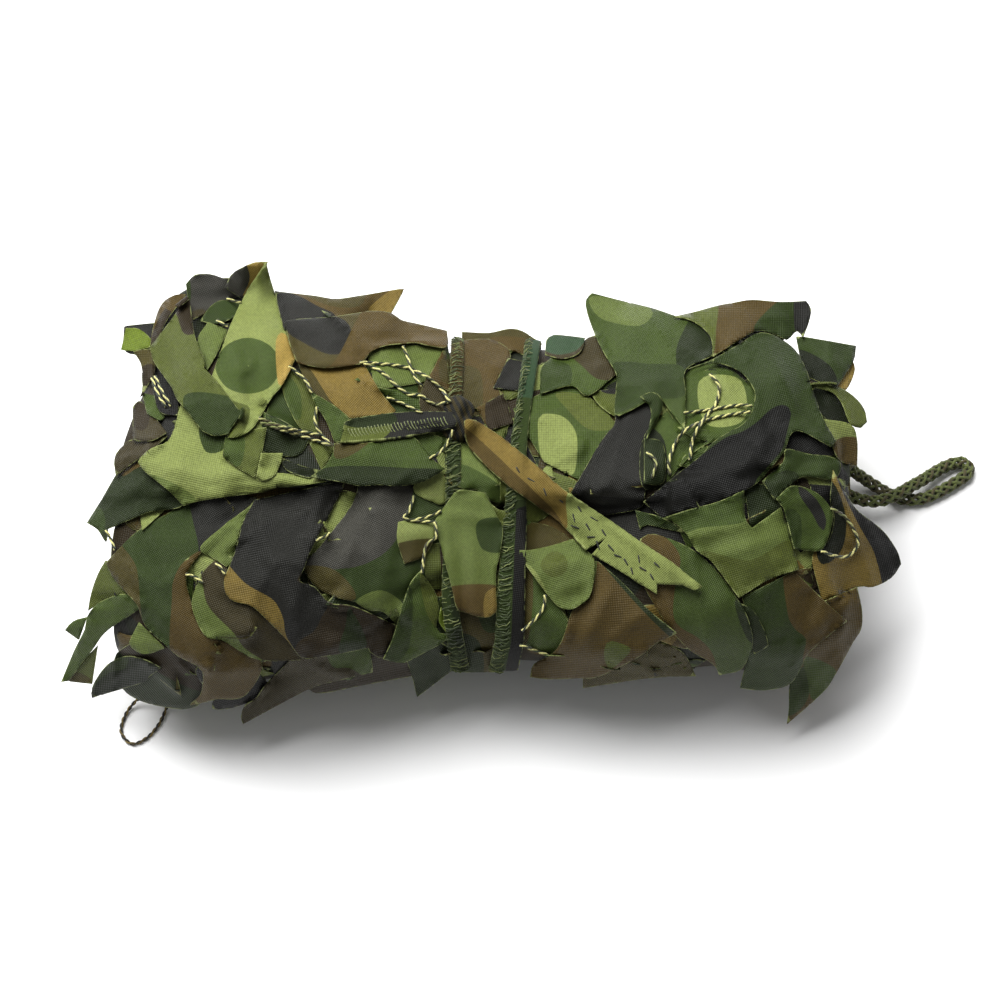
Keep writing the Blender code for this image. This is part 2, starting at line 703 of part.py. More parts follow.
def tail_strip(view, route, trees, slant):
    """A free end of the tie, laid over everything below it; its tip is cut askew by slant."""
    centres = smooth_route([Vector((x, y, 0)) for x, y in route], 0.008 / view.unit)
    half = TIE_WIDTH / 2 / view.unit
    rows = []
    for number, place in enumerate(centres):
        before = centres[max(0, number - 1)]
        after = centres[min(len(centres) - 1, number + 1)]
        way = (after - before).normalized()
        side = Vector((-way.y, way.x, 0))
        row = []
        for column in range(3):
            spot = place + side * half * (column - 1)
            if number == len(centres) - 1:
                spot -= way * slant / view.unit * (column - 1)
            depth = rest_depth(view, trees, spot.x, spot.y, 0.003 / view.unit)
            row.append([spot.x, spot.y, (depth or 0) + LEAF_GAP])
        high = max(item[2] for item in row)
        for item in row:
            item[2] = max(item[2], high - 0.002)
        rows.append(row)
    for _ in range(24):
        sections = [section_places(view, row, TIE_THICKNESS) for row in rows]
        tree = sheet_tree(sections, 2)
        if not any(tree.overlap(other) for other in trees):
            break
        for row in rows:
            for item in row:
                item[2] += 0.0004
    bm = bmesh.new()
    spot = bm.verts.layers.int.new("spot")
    bm.verts.layers.int.new("row")
    first = {key: bm.verts.new(place) for key, place in sections[0].items()}
    for key, vert in first.items():
        vert[spot] = key
    faces = [bm.faces.new((first[c], first[c + 1], first[101 + c], first[100 + c])) for c in range(2)]
    for number, section in enumerate(sections[1:]):
        faces = extrude_to(bm, faces, section, spot, keep=number == 0)
    bmesh.ops.recalc_face_normals(bm, faces=bm.faces)
    return bm


def knot_lump(view, trees):
    """The half knot: a rounded pad with the strip's wrap standing proud across its middle."""
    size_x, size_y, size_z = KNOT_SIZE
    bm = bmesh.new()
    bmesh.ops.create_uvsphere(bm, u_segments=14, v_segments=8, radius=0.5)
    x, y = KNOT_PLACE
    base = rest_depth(view, trees, x, y, 0.0035 / view.unit) + LEAF_GAP
    for vert in bm.verts:
        place = vert.co
        wrap = 0.16 * math.exp(-(place.y / 0.16) ** 2)
        across = place.x * size_x * (1 + wrap)
        upward = place.y * size_y
        depth = base + size_z * (0.5 + place.z * (1 + wrap) * 0.86)
        vert.co = view.aim + (view.point(x, y, depth) - view.aim) + view.right * across + view.up * upward
    for _ in range(24):
        tree = tree_of(bm)
        if not any(tree.overlap(other) for other in trees):
            break
        bmesh.ops.translate(bm, verts=bm.verts, vec=view.toward * 0.0004)
    bmesh.ops.translate(bm, verts=bm.verts, vec=view.toward * 0.0003)
    return bm


def cord_tube(name, view, route, diameter, spacing, material):
    """A round cord through the route, as a curve with a round bevel and closed ends."""
    points = []
    for x, y, height in route:
        eye = view.aim + view.toward * view.distance
        ray = view.point(x, y, 0) - eye
        points.append(eye + ray * ((height / 1000 - eye.z) / ray.z))
    places = smooth_route(points, spacing * diameter)
    curve = bpy.data.curves.new(name, "CURVE")
    curve.dimensions = "3D"
    curve.bevel_depth = diameter / 2
    curve.bevel_resolution = 2
    curve.use_fill_caps = True
    spline = curve.splines.new("POLY")
    spline.points.add(len(places) - 1)
    for spline_point, place in zip(spline.points, places):
        spline_point.co = (place.x, place.y, max(place.z, diameter / 2 + 0.0001), 1)
    item = bpy.data.objects.new(name, curve)
    bpy.context.scene.collection.objects.link(item)
    curve.materials.append(material)
    return item


def build_ties(material):
    return [make_object(name, mesh_from(band_ring(x, slant), name), material) for name, x, slant in TIES]


def tree_of_objects(items):
    """One search tree of what is already in place, which the leaves are kept clear of."""
    joined = bmesh.new()
    depsgraph = bpy.context.evaluated_depsgraph_get()
    for item in items:
        evaluated = item.evaluated_get(depsgraph)
        joined.from_mesh(evaluated.to_mesh())
        evaluated.to_mesh_clear()
    return tree_of(joined)


def build_net(view, fixed, material):
    bm = wound_band()
    layers = (bm.verts.layers.int["spot"], bm.faces.layers.int.new("used"))
    missing = []
    for side, leaf in side_leaves():
        if not grow_leaf(bm, side, leaf, fixed, layers):
            missing.append(("side", round(leaf["root_x"]), round(leaf["root_y"])))
    for row in LEAVES:
        if not grow_leaf(bm, view, dict(zip(LEAF_COLUMNS, row)), fixed, layers):
            missing.append(row[:2])
    print("leaves that found no place:", missing)
    split_quads(bm)
    make_object("rolled_net", mesh_from(bm, "rolled_net"), material)
    return bm


def centre_part(cords):
    """Puts the middle of everything but the cords over the origin."""
    pieces = [item for item in bpy.data.objects if item not in cords]
    corners = [vert.co for item in pieces for vert in item.data.vertices]
    middle = [(min(co[axis] for co in corners) + max(co[axis] for co in corners)) / 2 for axis in (0, 1)]
    print("moved by", [round(-value, 6) for value in middle])
    for item in bpy.data.objects:
        item.location = (-middle[0], -middle[1], 0.0)


def main():
    clear_scene()
    cloth = cloth_material("camouflage_cloth", (0.13, 0.19, 0.07))
    tie_cloth = cloth_material("tie_cloth", (0.16, 0.13, 0.06))
    rope = cloth_material("border_rope", (0.09, 0.14, 0.03), 0.9)
    twine = cloth_material("mesh_twine", (0.14, 0.16, 0.06), 0.8)
    view = picture_view()
    placed = build_ties(tie_cloth)
    placed.append(cord_tube("corner_rope_loop", view, ROPE_ROUTE, ROPE_DIAMETER, 0.9, rope))
    placed.append(cord_tube("twine_loop", view, TWINE_ROUTE, TWINE_DIAMETER, 1.6, twine))
    fixed = tree_of_objects(placed)
    net = build_net(view, fixed, cloth)
    trees = [tree_of(net), fixed]
    knot = knot_lump(view, trees)
    make_object("tie_knot", mesh_from(knot, "tie_knot"), tie_cloth)
    trees.append(tree_of(knot))
    for name, route, slant in (("tie_tail_left", LEFT_TAIL, 0.0), ("tie_tail_right", RIGHT_TAIL, TAIL_TIP_SLANT)):
        tail = tail_strip(view, route, trees, slant)
        trees.append(tree_of(tail))
        make_object(name, mesh_from(tail, name), tie_cloth)
    centre_part([placed[-2], placed[-1]])


main()
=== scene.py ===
import math
import random

import bmesh
import bpy
import numpy as np
from mathutils import Matrix, Vector, noise
from mathutils.bvhtree import BVHTree


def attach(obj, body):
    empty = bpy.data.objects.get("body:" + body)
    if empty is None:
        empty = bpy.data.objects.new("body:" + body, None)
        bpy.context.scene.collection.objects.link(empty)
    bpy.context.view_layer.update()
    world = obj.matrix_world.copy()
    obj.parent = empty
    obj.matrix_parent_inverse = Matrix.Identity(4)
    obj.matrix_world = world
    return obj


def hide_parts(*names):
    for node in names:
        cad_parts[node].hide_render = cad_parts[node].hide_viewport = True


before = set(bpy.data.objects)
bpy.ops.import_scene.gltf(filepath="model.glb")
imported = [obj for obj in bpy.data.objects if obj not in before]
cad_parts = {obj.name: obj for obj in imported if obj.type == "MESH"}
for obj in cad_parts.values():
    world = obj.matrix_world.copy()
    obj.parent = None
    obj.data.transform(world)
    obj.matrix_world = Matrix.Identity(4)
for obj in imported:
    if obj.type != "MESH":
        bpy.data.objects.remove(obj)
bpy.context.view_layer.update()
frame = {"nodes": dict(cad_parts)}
print("frame loaded:", ", ".join(frame["nodes"]))

# The picture that the leaves are laid out in, 1000 pixels wide; pixel is its size at the aim point
picture = {
    "aim": (0.0074, 0.0014, 0.046),
    "elevation": 65,
    "distance": 1.30,
    "pixel": 0.00042,
    "middle": 500,
    "window": (48, 236, 984, 756),
}
noCloth = -9.0  # the height of a cell that nothing lies in
noPrint = -9.0  # far outside any print

inks = {
    "pale": "#8f9760",
    "sage": "#727b45",
    "fern": "#576331",
    "moss": "#4c5423",
    "leaf": "#3a481b",
    "ivy": "#2b3813",
    "deep": "#1f290d",
    "pine": "#131907",
    "lime": "#5b6a1c",
    "teal": "#2d422a",
    "straw": "#8c783e",
    "tan": "#6a5a2a",
    "olive": "#403a18",
    "brown": "#483b18",
    "umber": "#28200e",
    "taupe": "#352f19",
    "slate": "#393832",
    "coal": "#1e1e1a",
    "black": "#10100d",
    "cream": "#bcb87a",
}


def linear(name, shade=1.0):
    text = inks[name].lstrip("#")
    values = [int(text[place : place + 2], 16) / 255 for place in (0, 2, 4)]
    return [shade * (v / 12.92 if v < 0.04045 else ((v + 0.055) / 1.055) ** 2.4) for v in values]


class Sight:
    # A picture plane through an aim point: x right and y down in pixels, depth towards the eye in metres
    def __init__(self, aim, azimuth, elevation, distance, pixel, middle):
        turn, rise = math.radians(azimuth), math.radians(elevation)
        forward = Vector((math.sin(turn), math.cos(turn), 0))
        self.right = Vector((forward.y, -forward.x, 0))
        self.toward = Vector((0, 0, math.sin(rise))) - forward * math.cos(rise)
        self.up = Vector((0, 0, math.cos(rise))) + forward * math.sin(rise)
        self.aim = Vector(aim)
        self.distance, self.pixel, self.middle = distance, pixel, middle
        self.eye = self.aim + self.toward * distance

    def place(self, x, y, depth):
        size = self.pixel * (1 - depth / self.distance)
        across = self.right * ((x - self.middle) * size)
        return self.aim + across + self.up * ((self.middle - y) * size) + self.toward * depth

    def flat(self, spot):
        away = spot - self.aim
        depth = away.dot(self.toward)
        size = self.pixel * (1 - depth / self.distance)
        return self.middle + away.dot(self.right) / size, self.middle - away.dot(self.up) / size, depth

    def floorDepth(self, x, y, height=0.0):
        low = self.place(x, y, 0)
        ray = low - self.eye
        spot = self.eye + ray * ((height - self.eye.z) / ray.z)
        return (spot - self.aim).dot(self.toward)


front = Sight(
    picture["aim"], 0, picture["elevation"], picture["distance"], picture["pixel"], picture["middle"]
)


def newObject(name, mesh, *materials):
    item = bpy.data.objects.new(name, mesh)
    bpy.context.scene.collection.objects.link(item)
    for material in materials:
        mesh.materials.append(material)
    return item


def fromBmesh(bm, name, smooth=True):
    mesh = bpy.data.meshes.new(name)
    bm.to_mesh(mesh)
    bm.free()
    if smooth:
        mesh.shade_smooth()
    return mesh


# Camera, floor and light
studio = {
    "sensor": 36,
    "floor": 3.0,
    "floorShade": 0.92,
    "floorRoughness": 0.9,
    "keyPower": 64,
    "keySize": 1.5,
    "keyPlace": (-0.50, 0.72, 1.60),
    "sky": 0.28,
    "gamma": 0.90,
    "exposure": 0.18,
}


def buildStudio():
    scene = bpy.context.scene
    camera = bpy.data.cameras.new("pictureCamera")
    camera.sensor_width = studio["sensor"]
    camera.lens = studio["sensor"] * picture["distance"] / (2 * picture["middle"] * picture["pixel"])
    camera.clip_start = 0.05
    holder = bpy.data.objects.new("pictureCamera", camera)
    scene.collection.objects.link(holder)
    turn = Matrix((front.right, front.up, front.toward)).transposed().to_4x4()
    holder.matrix_world = Matrix.Translation(front.eye) @ turn
    scene.camera = holder
    key = bpy.data.lights.new("softKey", "AREA")
    key.energy = studio["keyPower"]
    key.size = studio["keySize"]
    keyHolder = bpy.data.objects.new("softKey", key)
    scene.collection.objects.link(keyHolder)
    keyHolder.location = studio["keyPlace"]
    keyHolder.rotation_euler = (-Vector(studio["keyPlace"])).to_track_quat("-Z", "Y").to_euler()
    world = bpy.data.worlds.new("studioWorld")
    world.use_nodes = True
    background = world.node_tree.nodes["Background"]
    background.inputs[0].default_value = (1, 1, 1, 1)
    background.inputs[1].default_value = studio["sky"]
    scene.world = world
    scene.view_settings.view_transform = "Standard"
    scene.view_settings.gamma = studio["gamma"]
    scene.view_settings.exposure = studio["exposure"]
    bm = bmesh.new()
    bmesh.ops.create_grid(bm, x_segments=1, y_segments=1, size=studio["floor"])
    floorPaint = bpy.data.materials.new("paleFloor")
    floorPaint.use_nodes = True
    shader = floorPaint.node_tree.nodes["Principled BSDF"]
    shader.inputs["Base Color"].default_value = (*[studio["floorShade"]] * 3, 1)
    shader.inputs["Roughness"].default_value = studio["floorRoughness"]
    floor = newObject("studioFloor", fromBmesh(bm, "studioFloor"), floorPaint)


buildStudio()
print("studio ready")


# Helpers for the materials
class Nodes:
    def __init__(self, name):
        self.material = bpy.data.materials.new(name)
        self.material.use_nodes = True
        self.tree = self.material.node_tree
        self.shader = self.tree.nodes["Principled BSDF"]

    def add(self, kind, **values):
        node = self.tree.nodes.new(kind)
        for key, value in values.items():
            setattr(node, key, value)
        return node

    def link(self, start, end):
        self.tree.links.new(start, end)

    def math(self, operation, first, second=None, clamp=False):
        node = self.add("ShaderNodeMath", operation=operation, use_clamp=clamp)
        for socket, value in zip(node.inputs, (first, second)):
            if hasattr(value, "links"):
                self.link(value, socket)
            elif value is not None:
                socket.default_value = value
        return node.outputs[0]

    def blend(self, factor, first, second, mode="MIX"):
        node = self.add("ShaderNodeMix", data_type="RGBA", blend_type=mode)
        for socket, value in ((node.inputs[0], factor), (node.inputs[6], first), (node.inputs[7], second)):
            if hasattr(value, "links"):
                self.link(value, socket)
            elif isinstance(value, (int, float)):
                socket.default_value = value
            else:
                socket.default_value = (*value, 1)
        return node.outputs[2]

    def attribute(self, name, socket="Fac"):
        return self.add("ShaderNodeAttribute", attribute_name=name).outputs[socket]

    def ramp(self, value, low, high):
        node = self.add("ShaderNodeMapRange", interpolation_type="SMOOTHSTEP")
        self.link(value, node.inputs["Value"])
        node.inputs["From Min"].default_value = low
        node.inputs["From Max"].default_value = high
        return node.outputs[0]

    def grain(self, vector, scale, detail=2.0):
        node = self.add("ShaderNodeTexNoise")
        node.inputs["Scale"].default_value = scale
        node.inputs["Detail"].default_value = detail
        self.link(vector, node.inputs["Vector"])
        return node.outputs[0]

    def bump(self, height, distance, strength=1.0, under=None):
        node = self.add("ShaderNodeBump")
        node.inputs["Strength"].default_value = strength
        node.inputs["Distance"].default_value = distance
        self.link(height, node.inputs["Height"])
        if under is not None:
            self.link(under, node.inputs["Normal"])
        return node.outputs[0]


cloth = {
    "cell": 1.05,
    "weaveDepth": 0.00011,
    # how strongly the weave's painted shade and glints lighten and darken the colour
    "weavePaintedShade": 0.50,
    "cellScale": 0.9,
    "cellShade": 0.55,
    "slubScale": 0.12,
    "slubShade": 0.35,
    "slubDepth": 0.0006,
    "slubStrength": 0.6,
    "printSoft": 0.22,
    "edgeWidth": 0.34,
    "edgeInk": "pale",
    "edgeShare": 0.75,
    "frayScale": 0.35,
    "frayRange": (0.38, 0.62),
    "roughness": 0.44,
    "gloss": 0.22,
    "sheen": 0.03,
    "thickness": 0.00032,
    "woundThickness": 0.0005,
}
# the tie's weave carries the same painted shade and glints, a little weaker
tieCloth = {"weavePaintedShade": 0.45, "roughness": 0.62}


def printedCloth(name, weavePaintedShade, roughness):
    # Printed woven cloth: up to three prints over a ground colour, a plain weave whose threads carry painted
    # shade and glints in the colour, and a pale cut edge
    make = Nodes(name)
    colour = make.attribute("ground", "Color")
    for number in (1, 2, 3):
        inside = make.ramp(make.attribute(f"print{number}"), -cloth["printSoft"], cloth["printSoft"])
        colour = make.blend(inside, colour, make.attribute(f"ink{number}", "Color"))
    weaveMap = make.add("ShaderNodeUVMap", uv_map="weave")
    parts = make.add("ShaderNodeSeparateXYZ")
    make.link(weaveMap.outputs[0], parts.inputs[0])
    turn = 2 * math.pi
    across = make.math("SINE", make.math("MULTIPLY", parts.outputs[0], turn))
    along = make.math("SINE", make.math("MULTIPLY", parts.outputs[1], turn))
    threads = make.math("MULTIPLY", across, along)
    cells = make.grain(weaveMap.outputs[0], cloth["cellScale"], 1.0)
    slub = make.grain(weaveMap.outputs[0], cloth["slubScale"], 3.0)
    # Painted shade and glints of the weave: the threads' pattern lightens and darkens the colour, beside the
    # cell and slub speckle, which is real tone differing at random
    shade = make.math("MULTIPLY", threads, weavePaintedShade / 2)
    for speckle, strength in ((cells, cloth["cellShade"]), (slub, cloth["slubShade"])):
        shade = make.math("ADD", shade, make.math("MULTIPLY", make.math("SUBTRACT", speckle, 0.5), strength))
    tone = make.add("ShaderNodeCombineColor")
    level = make.math("ADD", shade, 1.0)
    for socket in tone.inputs:
        make.link(level, socket)
    colour = make.blend(1.0, colour, tone.outputs[0], "MULTIPLY")
    edge = make.math("SUBTRACT", 1.0, make.ramp(make.attribute("cutEdge"), 0.0, cloth["edgeWidth"]))
    fray = make.grain(weaveMap.outputs[0], cloth["frayScale"], 2.0)
    edge = make.math("MULTIPLY", edge, make.ramp(fray, *cloth["frayRange"]))
    colour = make.blend(make.math("MULTIPLY", edge, cloth["edgeShare"]), colour, linear(cloth["edgeInk"]))
    make.link(colour, make.shader.inputs["Base Color"])
    make.shader.inputs["Roughness"].default_value = roughness
    make.shader.inputs["Specular IOR Level"].default_value = cloth["gloss"]
    make.shader.inputs["Sheen Weight"].default_value = cloth["sheen"]
    weave = make.bump(threads, cloth["weaveDepth"])
    lumpy = make.bump(slub, cloth["slubDepth"], cloth["slubStrength"], weave)
    make.link(lumpy, make.shader.inputs["Normal"])
    return make.material


clothPaint = printedCloth("printedCloth", cloth["weavePaintedShade"], cloth["roughness"])
tiePaint = printedCloth("tieCloth", tieCloth["weavePaintedShade"], tieCloth["roughness"])


# Cloth made in picture space: x and y in pixels, height in metres towards the eye
def traced(text):
    # "x,y" is a point of a round stretch and "x,y!" a corner; from there to the next point, "<" curls the
    # edge up and ">" rolls it under
    spots = []
    for word in text.split():
        marks = word.lstrip("-0123456789.,")
        x, y = word[: len(word) - len(marks)].split(",")
        spots.append((np.array((float(x), float(y))), "!" in marks, "<" in marks, ">" in marks))
    return spots


def outlineOf(text, step=5.0):
    spots = traced(text)
    count = len(spots)
    path, curled = [], []
    for number in range(count):
        start, startCorner, up, under = spots[number]
        end, endCorner = spots[(number + 1) % count][:2]
        before, after = spots[number - 1][0], spots[(number + 2) % count][0]
        leave = end - start if startCorner else (end - before) / 2
        arrive = end - start if endCorner else (after - start) / 2
        pieces = max(1, int(round(np.linalg.norm(end - start) / step)))
        for piece in range(pieces):
            t = piece / pieces
            a, b, c, d = (2 * t**3 - 3 * t**2 + 1, t**3 - 2 * t**2 + t, 3 * t**2 - 2 * t**3, t**3 - t**2)
            path.append(a * start + b * leave + c * end + d * arrive)
            curled.append(1 if up else -1 if under else 0)
    return np.array(path), curled


def insideOf(path, points):
    inside = np.zeros(len(points), bool)
    for start, end in zip(path, np.roll(path, -1, 0)):
        if start[1] == end[1]:
            continue
        crosses = (start[1] > points[:, 1]) != (end[1] > points[:, 1])
        at = (end[0] - start[0]) * (points[:, 1] - start[1]) / (end[1] - start[1]) + start[0]
        inside ^= crosses & (points[:, 0] < at)
    return inside


def rimDistance(path, points):
    nearest = np.full(len(points), 1e9)
    for start, end in zip(path, np.roll(path, -1, 0)):
        way = end - start
        share = np.clip(((points - start) @ way) / max(way @ way, 1e-9), 0, 1)
        gap = points - (start + share[:, None] * way)
        nearest = np.minimum(nearest, np.hypot(gap[:, 0], gap[:, 1]))
    return nearest


def signedDistance(path, points):
    return np.where(insideOf(path, points), 1, -1) * rimDistance(path, points)


def spread(values, reach, best):
    # Largest (or smallest) value within reach cells, first along one way and then the other
    for axis in (0, 1):
        found = values.copy()
        for shift in range(1, reach + 1):
            for way in (shift, -shift):
                moved = np.roll(values, way, axis)
                edge = [slice(None), slice(None)]
                edge[axis] = slice(0, way) if way > 0 else slice(way, None)
                moved[tuple(edge)] = values[tuple(edge)]
                found = best(found, moved)
        values = found
    return values


def soften(values, cells):
    reach = max(1, int(3 * cells))
    weights = np.exp(-0.5 * (np.arange(-reach, reach + 1) / cells) ** 2)
    weights /= weights.sum()
    for axis in (0, 1):
        padding = [(0, 0), (0, 0)]
        padding[axis] = (reach, reach)
        padded = np.pad(values, padding, mode="edge")
        total = np.zeros_like(values)
        for number, weight in enumerate(weights):
            window = [slice(None), slice(None)]
            window[axis] = slice(number, number + values.shape[axis])
            total += weight * padded[tuple(window)]
        values = total
    return values


def tented(values, drop):
    # Cloth falls away from its high places no faster than this drop from cell to cell
    for _ in range(pileRules["slopeRounds"]):
        for shift, share in (((0, 1), 1), ((1, 0), 1), ((1, 1), 1.41), ((1, -1), 1.41)):
            for way in (1, -1):
                moved = np.roll(values, (shift[0] * way, shift[1] * way), (0, 1)) - drop * share
                moved[0, :] = moved[-1, :] = moved[:, 0] = moved[:, -1] = noCloth
                values = np.maximum(values, moved)
    return values


pileRules = {
    "cell": 2.0,
    "margin": 14,
    "droop": 0.75,
    "droopReach": 130,
    "slope": 1.2,
    "slopeRounds": 26,
    "floorGap": 0.0015,
    "seesFloor": 0.05,
    "rim": 1.2,
    "leastSoft": 0.8,
    "liftShare": 0.5,
    "highest": 0.018,
    "foldShare": 0.5,
    "gap": 0.00045,
    "guard": 0.00035,
    "bridge": 0.0085,
    "smooth": 0.0026,
    "ripple": 0.0011,
    "ripplePixels": 62,
    "rippleStep": 3,
    "rippleSoft": 1.6,
    "rippleSeed": 3.7,
    "creaseFade": 0.25,
}


class Pile:
    # The heights that the next piece of cloth comes to lie on, cell by cell, as seen from one side
    def __init__(self, sight, left, top, right, bottom, trees, cell=None):
        self.sight = sight
        self.cell = cell or pileRules["cell"]
        self.left, self.top = left, top
        self.columns = int((right - left) / self.cell) + 1
        self.rows = int((bottom - top) / self.cell) + 1
        self.heights = np.full((self.rows, self.columns), noCloth)
        for row in range(self.rows):
            for column in range(self.columns):
                x, y = left + column * self.cell, top + row * self.cell
                ray = (sight.place(x, y, 0) - sight.eye).normalized()
                for tree in trees:
                    spot = tree.ray_cast(sight.eye, ray)[0]
                    if spot is not None:
                        depth = (spot - sight.aim).dot(sight.toward)
                        self.heights[row, column] = max(self.heights[row, column], depth)
        self.open = self.heights == noCloth
        drop = pileRules["droop"] * self.cell * sight.pixel
        for _ in range(int(pileRules["droopReach"] / self.cell)):
            for axis in (0, 1):
                for way in (1, -1):
                    moved = np.roll(self.heights, way, axis) - drop
                    self.heights = np.where(self.open, np.maximum(self.heights, moved), self.heights)
        places = ((left, top), (right, top), (left, bottom))
        corners = [sight.floorDepth(x, y, pileRules["floorGap"]) for x, y in places]
        across = np.linspace(0, corners[1] - corners[0], self.columns)[None, :]
        down = np.linspace(0, corners[2] - corners[0], self.rows)[:, None]
        self.floor = corners[0] + across + down
        if sight.toward.z > pileRules["seesFloor"]:
            self.heights = np.maximum(self.heights, self.floor)
        self.base = tented(self.heights, pileRules["slope"] * self.cell * sight.pixel)

    def window(self, path):
        margin = pileRules["margin"]
        low = (path.min(0) - margin - (self.left, self.top)) / self.cell
        high = (path.max(0) + margin - (self.left, self.top)) / self.cell
        columns = slice(max(0, int(low[0])), min(self.columns, int(high[0]) + 2))
        rows = slice(max(0, int(low[1])), min(self.rows, int(high[1]) + 2))
        return rows, columns

    def spots(self, rows, columns):
        x = self.left + np.arange(columns.start, columns.stop) * self.cell
        y = self.top + np.arange(rows.start, rows.stop) * self.cell
        return np.stack(np.meshgrid(x, y), -1)

    def lay(self, path, rules):
        # The rest heights of a piece with this outline; rules may hold seed, ripple, raised, raise, crease
        pixel = self.sight.pixel
        rows, columns = self.window(path)
        under = self.heights[rows, columns]
        grid = self.spots(rows, columns)
        flatGrid = grid.reshape(-1, 2)
        inside = (signedDistance(path, flatGrid) > -pileRules["rim"] * self.cell).reshape(under.shape)
        floor = under[inside].min() if inside.any() else under.min()
        known = np.where(inside, under, floor)
        reach = max(1, int(pileRules["bridge"] / (self.cell * pixel)))
        closed = spread(spread(known, reach, np.maximum), reach, np.minimum)
        cells = pileRules["smooth"] / (self.cell * pixel)
        filled = np.where(inside, np.maximum(closed, known), closed)
        rest = soften(filled, max(cells, pileRules["leastSoft"]))
        rest = tented(rest, pileRules["slope"] * self.cell * pixel)
        need = np.minimum(spread(under, 1, np.maximum), under + pileRules["guard"]) + pileRules["gap"]
        rest = np.where(inside, np.maximum(rest, need), rest)
        room = 1 - (rest - self.base[rows, columns]) / pileRules["highest"]
        lifts, folds = self.shape(grid, rules)
        rest = rest + lifts * np.clip(room, 0, 1) + folds * np.clip(room, pileRules["foldShare"], 1)
        rest = np.where(inside, np.maximum(rest, need), rest)
        self.heights[rows, columns] = np.where(inside, np.maximum(under, rest), under)
        return rest, rows, columns

    def shape(self, grid, rules):
        # One piece's raised places, and its ripples and creases, measured from its rest
        seed = rules.get("seed", 0) * pileRules["rippleSeed"]
        wave = pileRules["ripplePixels"]
        height = np.zeros(grid.shape[:2])
        step = pileRules["rippleStep"]
        for row in range(0, grid.shape[0], step):
            for column in range(0, grid.shape[1], step):
                x, y = grid[row, column]
                value = noise.noise(Vector((x / wave, y / wave, seed)))
                height[row : row + step, column : column + step] = value
        height = soften(height, pileRules["rippleSoft"]) * rules.get("ripple", pileRules["ripple"])
        lifts = np.full(height.shape, rules.get("raised", 0) * pileRules["liftShare"])
        for x, y, amount, radius in rules.get("raise", ()):
            away = np.hypot(grid[..., 0] - x, grid[..., 1] - y) / radius
            lifts += amount / 1000 * np.exp(-(away**2))
        for x0, y0, x1, y1, amount, width in rules.get("crease", ()):
            way = np.array((x1 - x0, y1 - y0), float)
            length = np.linalg.norm(way)
            way /= length
            gap = grid - (x0, y0)
            along = gap @ way
            across = gap @ np.array((-way[1], way[0]))
            outside = np.maximum(0, np.maximum(-along, along - length)) / (pileRules["creaseFade"] * length)
            height += amount / 1000 * np.exp(-np.abs(across) / width) * np.exp(-(outside**2))
        return lifts, height

    def at(self, x, y):
        column = min(max((x - self.left) / self.cell, 0), self.columns - 1.001)
        row = min(max((y - self.top) / self.cell, 0), self.rows - 1.001)
        c, r = int(column), int(row)
        u, v = column - c, row - r
        h = self.heights
        upper = h[r, c] * (1 - u) * (1 - v) + h[r, c + 1] * u * (1 - v)
        return upper + h[r + 1, c] * (1 - u) * v + h[r + 1, c + 1] * u * v


def sampled(rest, rows, columns, pile, points):
    column = np.clip((points[:, 0] - pile.left) / pile.cell - columns.start, 0, rest.shape[1] - 1.001)
    row = np.clip((points[:, 1] - pile.top) / pile.cell - rows.start, 0, rest.shape[0] - 1.001)
    c, r = column.astype(int), row.astype(int)
    u, v = column - c, row - r
    top = rest[r, c] * (1 - u) + rest[r, c + 1] * u
    low = rest[r + 1, c] * (1 - u) + rest[r + 1, c + 1] * u
    return top * (1 - v) + low * v


leafCut = {
    "grid": 4.6,
    "weld": 0.7,
    "curlRadius": 0.0019,
    "curlTurn": 200,
    "curlSteps": 6,
    "rollRadius": 0.0016,
    "rollTurn": 110,
    "onEdge": 1.0,
    "insideRim": 2.0,
    "shades": (0.93, 1.07),
}


